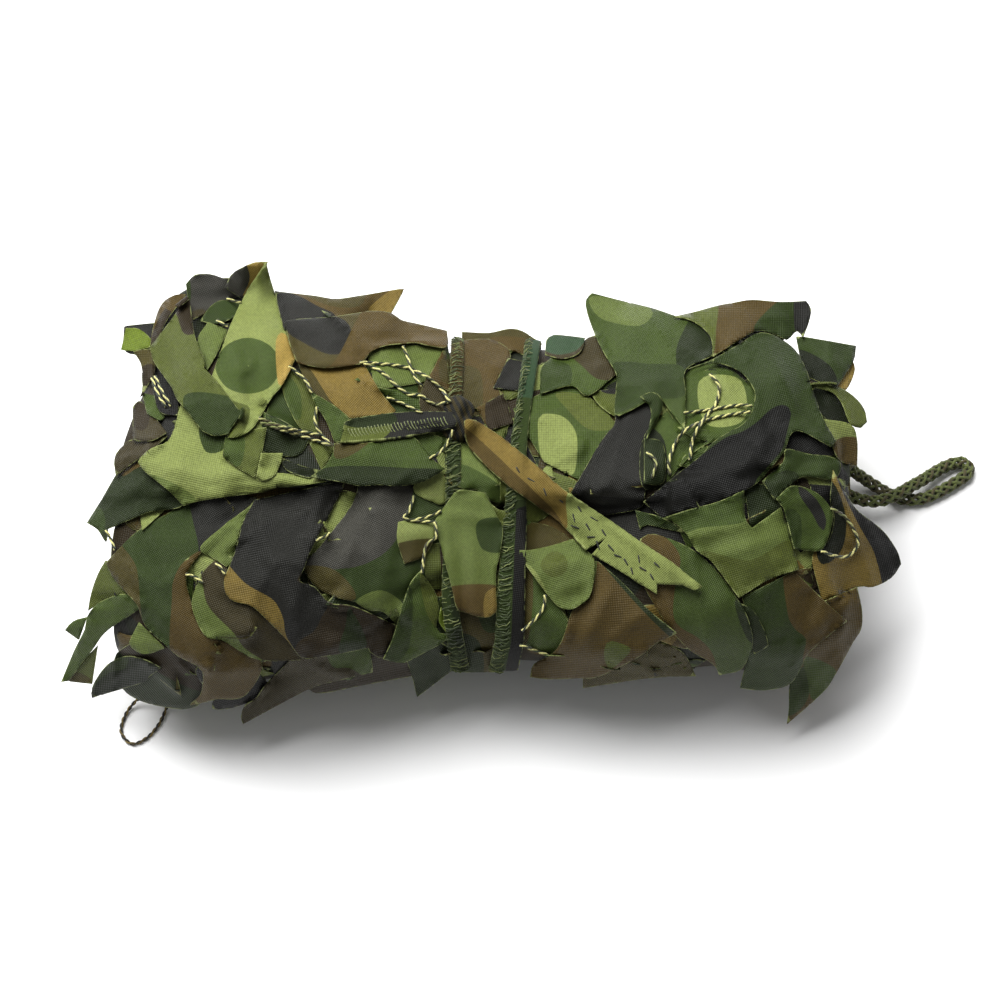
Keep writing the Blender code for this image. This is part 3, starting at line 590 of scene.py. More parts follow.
class ClothPiece:
    # Gathers the leaves of one object, with their prints, inks, cut edges and weave directions
    def __init__(self, name):
        self.name = name
        self.bm = bmesh.new()
        self.weave = self.bm.loops.layers.uv.new("weave")
        self.inks = [self.bm.verts.layers.float_color.new(key) for key in ("ground", "ink1", "ink2", "ink3")]
        self.prints = [self.bm.verts.layers.float.new(f"print{number}") for number in (1, 2, 3)]
        self.edge = self.bm.verts.layers.float.new("cutEdge")
        self.area = 0.0
        self.draw = random.Random(name)

    def dress(self, made, flatPoints, colours, fields, edges, pixel):
        angle = self.draw.uniform(0, math.pi)
        shade = self.draw.uniform(*leafCut["shades"])
        cosine, sine = math.cos(angle), math.sin(angle)
        scale = pixel * 1000 / cloth["cell"]
        verts = {vert: number for number, vert in enumerate(made)}
        for vert, number in verts.items():
            for layer, colour in zip(self.inks, colours):
                vert[layer] = (*linear(colour, shade), 1)
            for layer, field in zip(self.prints, fields):
                vert[layer] = field[number]
            vert[self.edge] = edges[number]
        for face in {face for vert in made for face in vert.link_faces}:
            for loop in face.loops:
                x, y = flatPoints[verts[loop.vert]]
                loop[self.weave].uv = (
                    (cosine * x - sine * y) * scale,
                    (sine * x + cosine * y) * scale,
                )

    def leaf(self, pile, outline, colour, prints=(), **rules):
        pixel = pile.sight.pixel
        path, curled = outlineOf(outline) if isinstance(outline, str) else (outline, [0] * len(outline))
        rows, columns = pile.window(path)
        before = pile.heights[rows, columns].copy()
        rest = pile.lay(path, rules)[0]
        bm = bmesh.new()
        bm.faces.new([bm.verts.new((x, y, 0)) for x, y in path])
        grid = rules.get("grid", leafCut["grid"])
        for axis in (0, 1):
            normal = (1, 0, 0) if axis == 0 else (0, 1, 0)
            low, high = path[:, axis].min(), path[:, axis].max()
            for number in range(math.ceil(low / grid), math.floor(high / grid) + 1):
                spot = [0, 0, 0]
                spot[axis] = number * grid
                everything = [*bm.verts, *bm.edges, *bm.faces]
                bmesh.ops.bisect_plane(bm, geom=everything, dist=0.01, plane_co=spot, plane_no=normal)
        bmesh.ops.remove_doubles(bm, verts=bm.verts, dist=leafCut["weld"])
        bmesh.ops.recalc_face_normals(bm, faces=bm.faces)
        if sum(face.normal.z for face in bm.faces) > 0:
            bmesh.ops.reverse_faces(bm, faces=bm.faces)
        bm.verts.index_update()
        points = np.array([vert.co[:2] for vert in bm.verts])
        heights = sampled(rest, rows, columns, pile, points)
        edges = rimDistance(path, points) * pixel * 1000
        for vert, height in zip(bm.verts, heights):
            vert.co.z = height
        allowed = rules.get("allowed")
        if allowed and not allowed([pile.sight.place(*vert.co) for vert in bm.verts]):
            pile.heights[rows, columns] = before
            bm.free()
            return False
        points, edges = self.curlEdges(bm, path, curled, points, edges, pixel, rules)
        fields = [np.full(len(points), noPrint) for _ in range(3)]
        colours = [colour] * 4
        for number, (ink, shape) in enumerate(prints[:3]):
            printPath = outlineOf(shape)[0] if isinstance(shape, str) else shape
            fields[number] = signedDistance(printPath, points) * pixel * 1000
            colours[number + 1] = ink
        self.take(bm, pile.sight, points, colours, fields, edges)
        return True

    def curlEdges(self, bm, path, curled, points, edges, pixel, rules):
        rim = {vert: edges[number] for number, vert in enumerate(bm.verts)}
        for kind in (1, -1):
            marked = [number for number, mark in enumerate(curled) if mark == kind]
            if not marked:
                continue
            segments = [(path[number], path[(number + 1) % len(path)]) for number in marked]
            chosen = []
            for edge in [item for item in bm.edges if item.is_boundary]:
                middle = np.array(((edge.verts[0].co + edge.verts[1].co) / 2)[:2])
                gaps = (rimDistance(np.array(pair), middle[None])[0] for pair in segments)
                if any(gap < leafCut["onEdge"] for gap in gaps):
                    chosen.append(edge)
            usual = "curl" if kind == 1 else "roll"
            radius = rules.get("radius", leafCut[usual + "Radius"])
            turn = rules.get("turn", leafCut[usual + "Turn"])
            steps = leafCut["curlSteps"]
            outward = {}
            for edge in chosen:
                inner = edge.link_faces[0].calc_center_median()
                way = (edge.verts[1].co - edge.verts[0].co).to_2d()
                side = Vector((way.y, -way.x)).normalized()
                if side.dot((inner - edge.verts[0].co).to_2d()) > 0:
                    side.negate()
                for vert in edge.verts:
                    outward[vert] = outward.get(vert, Vector((0, 0))) + side
            base = {vert: (vert.co.copy(), way.normalized()) for vert, way in outward.items()}
            owner = {vert: vert for vert in base}
            for step in range(1, steps + 1):
                made = bmesh.ops.extrude_edge_only(bm, edges=chosen)["geom"]
                fresh = [item for item in made if isinstance(item, bmesh.types.BMVert)]
                nextOwner = {}
                for vert in fresh:
                    near = [edge.other_vert(vert) for edge in vert.link_edges]
                    root = next(owner[other] for other in near if other in owner)
                    spot, way = base[root]
                    angle = math.radians(turn) * step / steps
                    out = radius * math.sin(angle) / pixel
                    vert.co.x = spot.x + way.x * out
                    vert.co.y = spot.y + way.y * out
                    vert.co.z = spot.z + kind * radius * (1 - math.cos(angle))
                    nextOwner[vert] = root
                owner = nextOwner
                chosen = [item for item in made if isinstance(item, bmesh.types.BMEdge)]
                for vert in fresh:
                    rim[vert] = 0.0 if step == steps else leafCut["insideRim"]
            for vert in base:
                rim[vert] = leafCut["insideRim"]
        points = np.array([vert.co[:2] for vert in bm.verts])
        return points, np.array([rim[vert] for vert in bm.verts])

    def take(self, bm, sight, points, colours, fields, edges):
        made = {}
        for vert in bm.verts:
            made[vert] = self.bm.verts.new(sight.place(vert.co.x, vert.co.y, vert.co.z))
        for face in bm.faces:
            copy = self.bm.faces.new([made[vert] for vert in face.verts])
            copy.smooth = True
            self.area += copy.calc_area()
        self.dress(list(made.values()), points, colours, fields, edges, sight.pixel)
        bm.free()

    def finish(self, material, thickness=None):
        mesh = bpy.data.meshes.new(self.name)
        self.bm.to_mesh(mesh)
        item = newObject(self.name, mesh, material)
        solid = item.modifiers.new("clothThickness", "SOLIDIFY")
        solid.thickness = thickness or cloth["thickness"]
        solid.offset = 0
        solid.use_quality_normals = False
        return item

    def tree(self):
        return BVHTree.FromBMesh(self.bm)


# The CAD was moved by this much, to bring the middle of all but its cords over the origin
cadShift = Vector((-0.00123, -0.002647, 0))

# The corner rope's loop and the twine's loop, along the CAD's own routes: picture x and y, and height in mm
ropes = {
    "corner_rope_loop": {
        "route": (
            (838, 459, 16.0), (846, 466, 13.0), (857, 474, 8.5), (872, 484, 4.5), (887, 493, 2.8),
            (903, 499, 2.8), (921, 499, 2.8), (941, 491, 2.8), (958, 481, 2.8), (968, 473, 2.8),
            (966, 464, 2.9), (955, 463, 3.2), (940, 469, 4.2), (924, 479, 6.4), (908, 488, 8.6),
            (894, 496, 9.2), (878, 501, 8.8), (862, 500, 9.4), (849, 495, 11.5), (839, 490, 13.0),
        ),
        "diameter": 0.0055,
        "strands": 8,
        "strandShare": 0.25,
        "twist": 0.017,
        "inks": ("moss", "olive"),
        "speck": 0.0011,
    },
    "twine_loop": {
        "route": (
            (167, 687, 15.0), (170, 693, 10.0), (169, 700, 5.0), (166, 709, 1.6), (159, 724, 0.9),
            (148, 737, 0.9), (134, 744, 0.9), (125, 739, 0.9), (121, 729, 0.9), (126, 714, 1.0),
            (135, 702, 2.5), (146, 694, 6.5), (154, 689, 12.0),
        ),
        "diameter": 0.0016,
        "strands": 2,
        "strandShare": 0.5,
        "twist": 0.0056,
        "inks": ("coal", "tan"),
        "speck": 0.0006,
    },
}
cordRules = {
    "curveSteps": 12,
    "stepsPerLay": 14,
    "strandSides": 7,
    "braidFill": 1.05,
    "braidSway": 0.10,
    "statedPoints": 40,
    "lowestGap": 0.0001,
    "shades": (0.75, 1.25),
    "speckRange": (0.42, 0.58),
    "wornScale": 60,
    "wornRange": (0.52, 0.72),
    "wornShade": 0.9,
    "roughness": 0.75,
    "sheen": 0.3,
    "grainDepth": 0.0002,
}


def heightSpot(x, y, height):
    # The point at this height in mm behind a picture point
    return front.place(x, y, front.floorDepth(x, y, height / 1000))


def evenRoute(points, spacing):
    padded = [points[0] * 2 - points[1], *points, points[-1] * 2 - points[-2]]
    fine = []
    for a, b, c, d in zip(padded, padded[1:], padded[2:], padded[3:]):
        for number in range(cordRules["curveSteps"]):
            t = number / cordRules["curveSteps"]
            straight = 2 * b + (c - a) * t
            bend = (2 * a - 5 * b + 4 * c - d) * t**2
            fine.append(0.5 * (straight + bend + (3 * b - a - 3 * c + d) * t**3))
    fine.append(points[-1])
    total = sum((b - a).length for a, b in zip(fine, fine[1:]))
    count = max(2, round(total / spacing))
    route, passed, wanted = [fine[0]], 0.0, 1
    for a, b in zip(fine, fine[1:]):
        part = (b - a).length
        while wanted < count and passed + part >= wanted * total / count:
            route.append(a.lerp(b, (wanted * total / count - passed) / part))
            wanted += 1
        passed += part
    return route + [fine[-1]], total


def tubeAlong(bm, route, radius, sides, closedEnds=True):
    rings, upward = [], Vector((0, 0, 1))
    for number, spot in enumerate(route):
        way = (route[min(number + 1, len(route) - 1)] - route[max(number - 1, 0)]).normalized()
        side = way.cross(upward)
        side = side.normalized() if side.length > 0.05 else way.orthogonal().normalized()
        over = side.cross(way)
        ring = []
        for step in range(sides):
            angle = 2 * math.pi * step / sides
            ring.append(bm.verts.new(spot + (side * math.cos(angle) + over * math.sin(angle)) * radius))
        rings.append(ring)
    for low, high in zip(rings, rings[1:]):
        for step in range(sides):
            after = (step + 1) % sides
            bm.faces.new((low[step], low[after], high[after], high[step])).smooth = True
    if closedEnds:
        bm.faces.new(list(reversed(rings[0])))
        bm.faces.new(rings[-1])


def paintedTube(bm, route, radius, sides, paint, closedEnds=True):
    first = len(bm.faces)
    tubeAlong(bm, route, radius, sides, closedEnds)
    bm.faces.ensure_lookup_table()
    for face in bm.faces[first:]:
        face.material_index = paint


def ropePaint(name, inkName, otherInk, cell):
    make = Nodes(name)
    place = make.add("ShaderNodeTexCoord").outputs["Object"]
    speck = make.grain(place, 1 / cell, 2.0)
    worn = make.grain(place, cordRules["wornScale"], 3.0)
    dark, light = [linear(inkName, shade) for shade in cordRules["shades"]]
    colour = make.blend(make.ramp(speck, *cordRules["speckRange"]), dark, light)
    other = linear(otherInk, cordRules["wornShade"])
    colour = make.blend(make.ramp(worn, *cordRules["wornRange"]), colour, other)
    make.link(colour, make.shader.inputs["Base Color"])
    make.shader.inputs["Roughness"].default_value = cordRules["roughness"]
    make.shader.inputs["Sheen Weight"].default_value = cordRules["sheen"]
    make.link(make.bump(speck, cordRules["grainDepth"]), make.shader.inputs["Normal"])
    return make.material


def strandedCord(name, rules, paints):
    # Strands laid round a smooth route; half of them turn the other way in a braid
    points = [heightSpot(*row) for row in rules["route"]]
    half = rules["diameter"] / 2
    route, length = evenRoute(points, rules["twist"] / cordRules["stepsPerLay"])
    for spot in route:
        spot.z = max(spot.z, half + cordRules["lowestGap"])
    strands, share = rules["strands"], rules["strandShare"]
    radius = half * share * (cordRules["braidFill"] if strands > 2 else 1.0)
    bm = bmesh.new()
    spacing = length / (len(route) - 1)
    for strand in range(strands):
        way = 1 if strand % 2 or strands == 2 else -1
        path = []
        for number, spot in enumerate(route):
            along = (route[min(number + 1, len(route) - 1)] - route[max(number - 1, 0)]).normalized()
            side = along.cross(Vector((0, 0, 1))).normalized()
            over = side.cross(along)
            angle = way * 2 * math.pi * number * spacing / rules["twist"] + 2 * math.pi * strand / strands
            weave = 1.0
            if strands > 2:
                weave = 1 + cordRules["braidSway"] * way * math.sin(2 * angle * strands / 4)
            path.append(spot + (side * math.cos(angle) + over * math.sin(angle)) * (half - radius) * weave)
        paint = strand % 2 if strands == 2 else int(strand % 4 == 3)
        paintedTube(bm, path, radius, cordRules["strandSides"], paint)
    bmesh.ops.recalc_face_normals(bm, faces=bm.faces)
    item = newObject(name, fromBmesh(bm, name), *paints)
    step = max(1, len(route) // cordRules["statedPoints"])
    centre = [tuple(spot) for spot in route[:-1:step]] + [tuple(route[-1])]
    return item, centre, length


for node, rules in ropes.items():
    pairs = (("A", rules["inks"]), ("B", rules["inks"][::-1]))
    paints = [ropePaint(node + key, *pair, rules["speck"]) for key, pair in pairs]
    cord, centre, length = strandedCord(node + "_laid", rules, paints)
    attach(cord, "root")
    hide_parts(node)
    print(f"{node}: {length * 1000:.0f} mm")


# The rolled cloth itself: a flattened spiral seen between the leaves and at both ends. A station is x, half
# the depth, half the height, the underside's height and the middle's y, in metres, before the CAD's shift
roll = {
    "stations": (
        (-0.149, 0.076, 0.040, 0.0040, 0.005), (-0.136, 0.082, 0.045, 0.0014, 0.005),
        (-0.120, 0.086, 0.048, 0.0005, 0.005), (-0.090, 0.087, 0.0485, 0.0005, 0.005),
        (-0.074, 0.086, 0.0485, 0.0005, 0.005), (-0.058, 0.084, 0.0475, 0.0005, 0.004),
        (-0.044, 0.081, 0.0455, 0.0005, 0.004), (-0.032, 0.077, 0.043, 0.0026, 0.003),
        (-0.021, 0.073, 0.0405, 0.0048, 0.002), (0.003, 0.072, 0.040, 0.0048, 0.002),
        (0.027, 0.073, 0.0405, 0.0048, 0.001), (0.040, 0.075, 0.043, 0.0022, 0.001),
        (0.056, 0.076, 0.045, 0.0005, 0.000), (0.073, 0.077, 0.0465, 0.0005, 0.000),
        (0.107, 0.078, 0.047, 0.0005, 0.000), (0.124, 0.077, 0.0455, 0.0005, 0.000),
        (0.138, 0.073, 0.0425, 0.0014, 0.001), (0.149, 0.068, 0.039, 0.0040, 0.001),
    ),
    "turns": 7,
    "stepsPerTurn": 64,
    "columns": 62,
    "core": 0.005,
    "start": math.radians(100),
    "ovalPower": 2.3,
    "inset": 0.0030,
    "ruffle": 0.0048,
    "crumple": 0.0014,
    "lump": 0.0019,
    "lumpWaves": (43, 77),
    "leastInset": 0.0012,
    "flatUnder": 0.35,
    "endSharpness": 6,
    "endWander": 1.4,
    "endTrim": 0.001,
    "endPull": (0.010, 0.005),
    "pulledPast": 0.04,
    "inks": ("umber", "pine", "brown", "coal"),
    "prints": ((2.0, 0.06), (8.0, 0.10), (14.0, 0.22)),
    "printSize": (46, 40),
    "printSlope": 12,
    "rowSpacing": 6.5,
}


def oval(angle, halfY, halfZ):
    power = 2 / roll["ovalPower"]
    cosine, sine = math.cos(angle), math.sin(angle)
    return (
        halfY * math.copysign(abs(cosine) ** power, cosine),
        halfZ * math.copysign(abs(sine) ** power, sine),
    )


def stationAt(x):
    rows = roll["stations"]
    x = min(max(x, rows[0][0]), rows[-1][0])
    for low, high in zip(rows, rows[1:]):
        if x <= high[0]:
            t = (x - low[0]) / (high[0] - low[0])
            t = t * t * (3 - 2 * t)
            return [a + (b - a) * t for a, b in zip(low[1:], high[1:])]
    return rows[-1][1:]


def lumpAt(x, angle):
    broad, fine = roll["lumpWaves"]
    wave = math.sin(broad * x + 2 * angle) + 0.6 * math.sin(fine * x - 3 * angle + 1)
    return roll["lump"] * wave * (0.55 + 0.45 * math.sin(angle))


def rollPoint(x, turn, inward, lumps=True):
    halfDepth, halfHeight, lift, middle = stationAt(x)
    pitch = (halfHeight - roll["core"]) / (roll["turns"] + 1)
    centre = lift + halfHeight
    angle = roll["start"] - 2 * math.pi * turn
    shrink = pitch * turn + inward - (lumpAt(x, angle) if lumps else 0)
    y, z = oval(angle, halfDepth - shrink, halfHeight - shrink)
    z = max(centre + z, lift + inward + roll["flatUnder"] * pitch * turn)
    return Vector((x, middle + y, z)) + cadShift


def buildRoll():
    piece = ClothPiece("woundCloth")
    bm = piece.bm
    columns = roll["columns"]
    low, high = roll["stations"][0][0], roll["stations"][-1][0]
    total = roll["turns"] * roll["stepsPerTurn"]
    grid, flatPoints, edges = [], [], []
    for row in range(total + 1):
        turn = row / roll["stepsPerTurn"]
        line = []
        for column in range(columns + 1):
            share = column / columns
            endward = abs(2 * share - 1) ** roll["endSharpness"]
            x = low + (high - low) * share
            wander = noise.noise(Vector((row * 0.16, 3.0 if share < 0.5 else 9.0, 0.0)))
            sway = roll["ruffle"] * roll["endWander"] * wander - roll["endTrim"]
            x += math.copysign(endward, share - 0.5) * sway
            broad = noise.noise(Vector((x * 46, row * 0.11, 1.0)))
            rough = broad + 0.5 * noise.noise(Vector((x * 110, row * 0.27, 5.0)))
            inward = roll["inset"] + roll["crumple"] * rough * (1.0 if turn < 1.2 else 0.4 + 0.5 * endward)
            wave = roll["ruffle"] * endward * noise.noise(Vector((row * 0.33, x * 60, 7.0)))
            spot = rollPoint(x, turn, max(roll["leastInset"], inward + 0.5 * wave))
            backward = min(1.0, max(0.0, spot.y) / roll["pulledPast"])
            spot.x += endward * backward * (roll["endPull"][0] if share < 0.5 else -roll["endPull"][1])
            line.append(bm.verts.new(spot))
            flatPoints.append((x * 1000, row * roll["rowSpacing"]))
            edges.append(min(share, 1 - share) * 300)
        grid.append(line)
    for upper, lower in zip(grid, grid[1:]):
        for left in range(columns):
            face = bm.faces.new((upper[left], lower[left], lower[left + 1], upper[left + 1]))
            face.smooth = True
            piece.area += face.calc_area()
    made = [vert for line in grid for vert in line]
    wide, tall = roll["printSize"]
    fields = []
    for seed, shift in roll["prints"]:
        values = [noise.noise(Vector((x / wide, y / tall, seed))) for x, y in flatPoints]
        fields.append([roll["printSlope"] * (value - shift) for value in values])
    piece.dress(made, np.array(flatPoints), roll["inks"], fields, edges, 0.001)
    bmesh.ops.recalc_face_normals(bm, faces=bm.faces)
    return piece


wound = buildRoll()
woundTree = wound.tree()
print("wound cloth:", len(wound.bm.faces), "faces")


# Leaves on the sides that the picture doesn't show, each thrown from its own side
def shownMask(rows, pile):
    # True in the cells that the wound cloth or a leaf of these rows covers in the picture
    left, top, cell = pile.left, pile.top, pile.cell
    shown = ~pile.open
    x = left + np.arange(shown.shape[1]) * cell
    y = top + np.arange(shown.shape[0]) * cell
    grid = np.stack(np.meshgrid(x, y), -1)
    for row in rows:
        path = outlineOf(row[2])[0]
        low = np.maximum(((path.min(0) - (left, top)) / cell).astype(int) - 1, 0)
        high = ((path.max(0) - (left, top)) / cell).astype(int) + 2
        part = grid[low[1] : high[1], low[0] : high[0]]
        inside = insideOf(path, part.reshape(-1, 2)).reshape(part.shape[:2])
        shown[low[1] : high[1], low[0] : high[0]] |= inside
    return shown


inkMoods = (
    ("sage", "leaf", "pine"), ("leaf", "sage", "coal"), ("olive", "brown", "coal"),
    ("brown", "tan", "umber"), ("deep", "leaf", "coal"), ("coal", "umber", "olive"),
    ("tan", "brown", "moss"), ("moss", "sage", "umber"), ("taupe", "olive", "coal"),
)


looseCut = {
    "lobes": (3, 4, 4, 5),
    "turnedBy": 16,
    "reach": (0.75, 1.25),
    "lobeHalf": (11, 19),
    "shoulder": 0.80,
    "notch": (0.38, 0.58),
    "blotchPoints": 7,
    "blotchReach": (0.55, 1.15),
}


def looseLeaf(draw, x, y, size):
    # A cut leaf: a few long lobes round a middle, with rounded notches between them
    lobes = draw.choice(looseCut["lobes"])
    start = draw.uniform(0, 360)
    words = []
    for lobe in range(lobes):
        stray = draw.uniform(-looseCut["turnedBy"], looseCut["turnedBy"])
        angle = math.radians(start + lobe * 360 / lobes + stray)
        reach = size * draw.uniform(*looseCut["reach"])
        half = math.radians(draw.uniform(*looseCut["lobeHalf"]))
        shoulder = looseCut["shoulder"]
        for way, share, mark in ((-half, shoulder, ""), (0, 1.0, "!"), (half, shoulder, "")):
            across = x + reach * share * math.cos(angle + way)
            down = y + reach * share * math.sin(angle + way)
            words.append(f"{across:.0f},{down:.0f}{mark}")
        notch = angle + math.pi / lobes
        inner = size * draw.uniform(*looseCut["notch"])
        words.append(f"{x + inner * math.cos(notch):.0f},{y + inner * math.sin(notch):.0f}")
    return " ".join(words)


def blotch(draw, x, y, size):
    turn = draw.uniform(0, 2 * math.pi)
    words = []
    for step in range(looseCut["blotchPoints"]):
        angle = turn + 2 * math.pi * step / looseCut["blotchPoints"]
        reach = size * draw.uniform(*looseCut["blotchReach"])
        words.append(f"{x + reach * math.cos(angle):.0f},{y + reach * math.sin(angle):.0f}")
    return " ".join(words)


sides = (
    # name, azimuth, elevation, leaves, picture window, leaf size in pixels
    ("back", 180, 28, 64, (90, 380, 910, 620), 46),
    ("leftEnd", 90, 22, 26, (290, 380, 710, 620), 42),
    ("rightEnd", -90, 22, 26, (290, 380, 710, 620), 42),
    ("foot", 0, 4, 44, (90, 390, 910, 610), 42),
    ("under", 0, -62, 34, (100, 300, 900, 700), 48),
)
sideRules = {
    "aim": (0, 0, 0.045),
    "cell": 4.0,
    "margin": 60,
    "tries": 30,
    "sizes": (0.7, 1.15),
    "ripple": 0.0016,
    "floor": 0.0006,
    "standOff": 0.010,
    "grid": 7.0,
}


def buildSide(row, trees, frontMask):
    name, azimuth, elevation, count, (left, top, right, bottom), size = row
    distance, pixel, middle = picture["distance"], picture["pixel"], picture["middle"]
    sight = Sight(sideRules["aim"], azimuth, elevation, distance, pixel, middle)
    margin = sideRules["margin"]
    window = (left - margin, top - margin, right + margin, bottom + margin)
    pile = Pile(sight, *window, trees, sideRules["cell"])
    piece = ClothPiece("leaves_" + name)
    draw = random.Random(name)
    placed = 0

    def keepsClose(spots):
        # True where the whole leaf keeps near the roll, over the floor and inside the outline in the picture
        for spot in spots:
            fx, fy = front.flat(spot)[:2]
            line = int((fy - frontPile.top) / frontPile.cell)
            column = int((fx - frontPile.left) / frontPile.cell)
            if not (0 <= line < frontMask.shape[0] and 0 <= column < frontMask.shape[1]):
                return False
            if not frontMask[line, column] or spot.z < sideRules["floor"]:
                return False
            if woundTree.find_nearest(spot)[3] > sideRules["standOff"]:
                return False
        return True

    for _ in range(count * sideRules["tries"]):
        if placed >= count:
            break
        x, y = draw.uniform(left, right), draw.uniform(top, bottom)
        reach = size * draw.uniform(*sideRules["sizes"])
        outline = looseLeaf(draw, x, y, reach)
        ground, first, second = draw.choice(inkMoods)
        prints = [(first, blotch(draw, x + draw.uniform(-0.5, 0.5) * reach, y, reach * 0.6))]
        prints.append((second, blotch(draw, x, y + draw.uniform(-0.7, 0.7) * reach, reach * 0.4)))
        rules = {"grid": sideRules["grid"], "ripple": sideRules["ripple"], "allowed": keepsClose}
        placed += piece.leaf(pile, outline, ground, prints, seed=placed, **rules)
    for vert in piece.bm.verts:
        vert.co.z = max(vert.co.z, sideRules["floor"])
    print(name, placed, "leaves,", len(piece.bm.faces), "faces")
    return piece
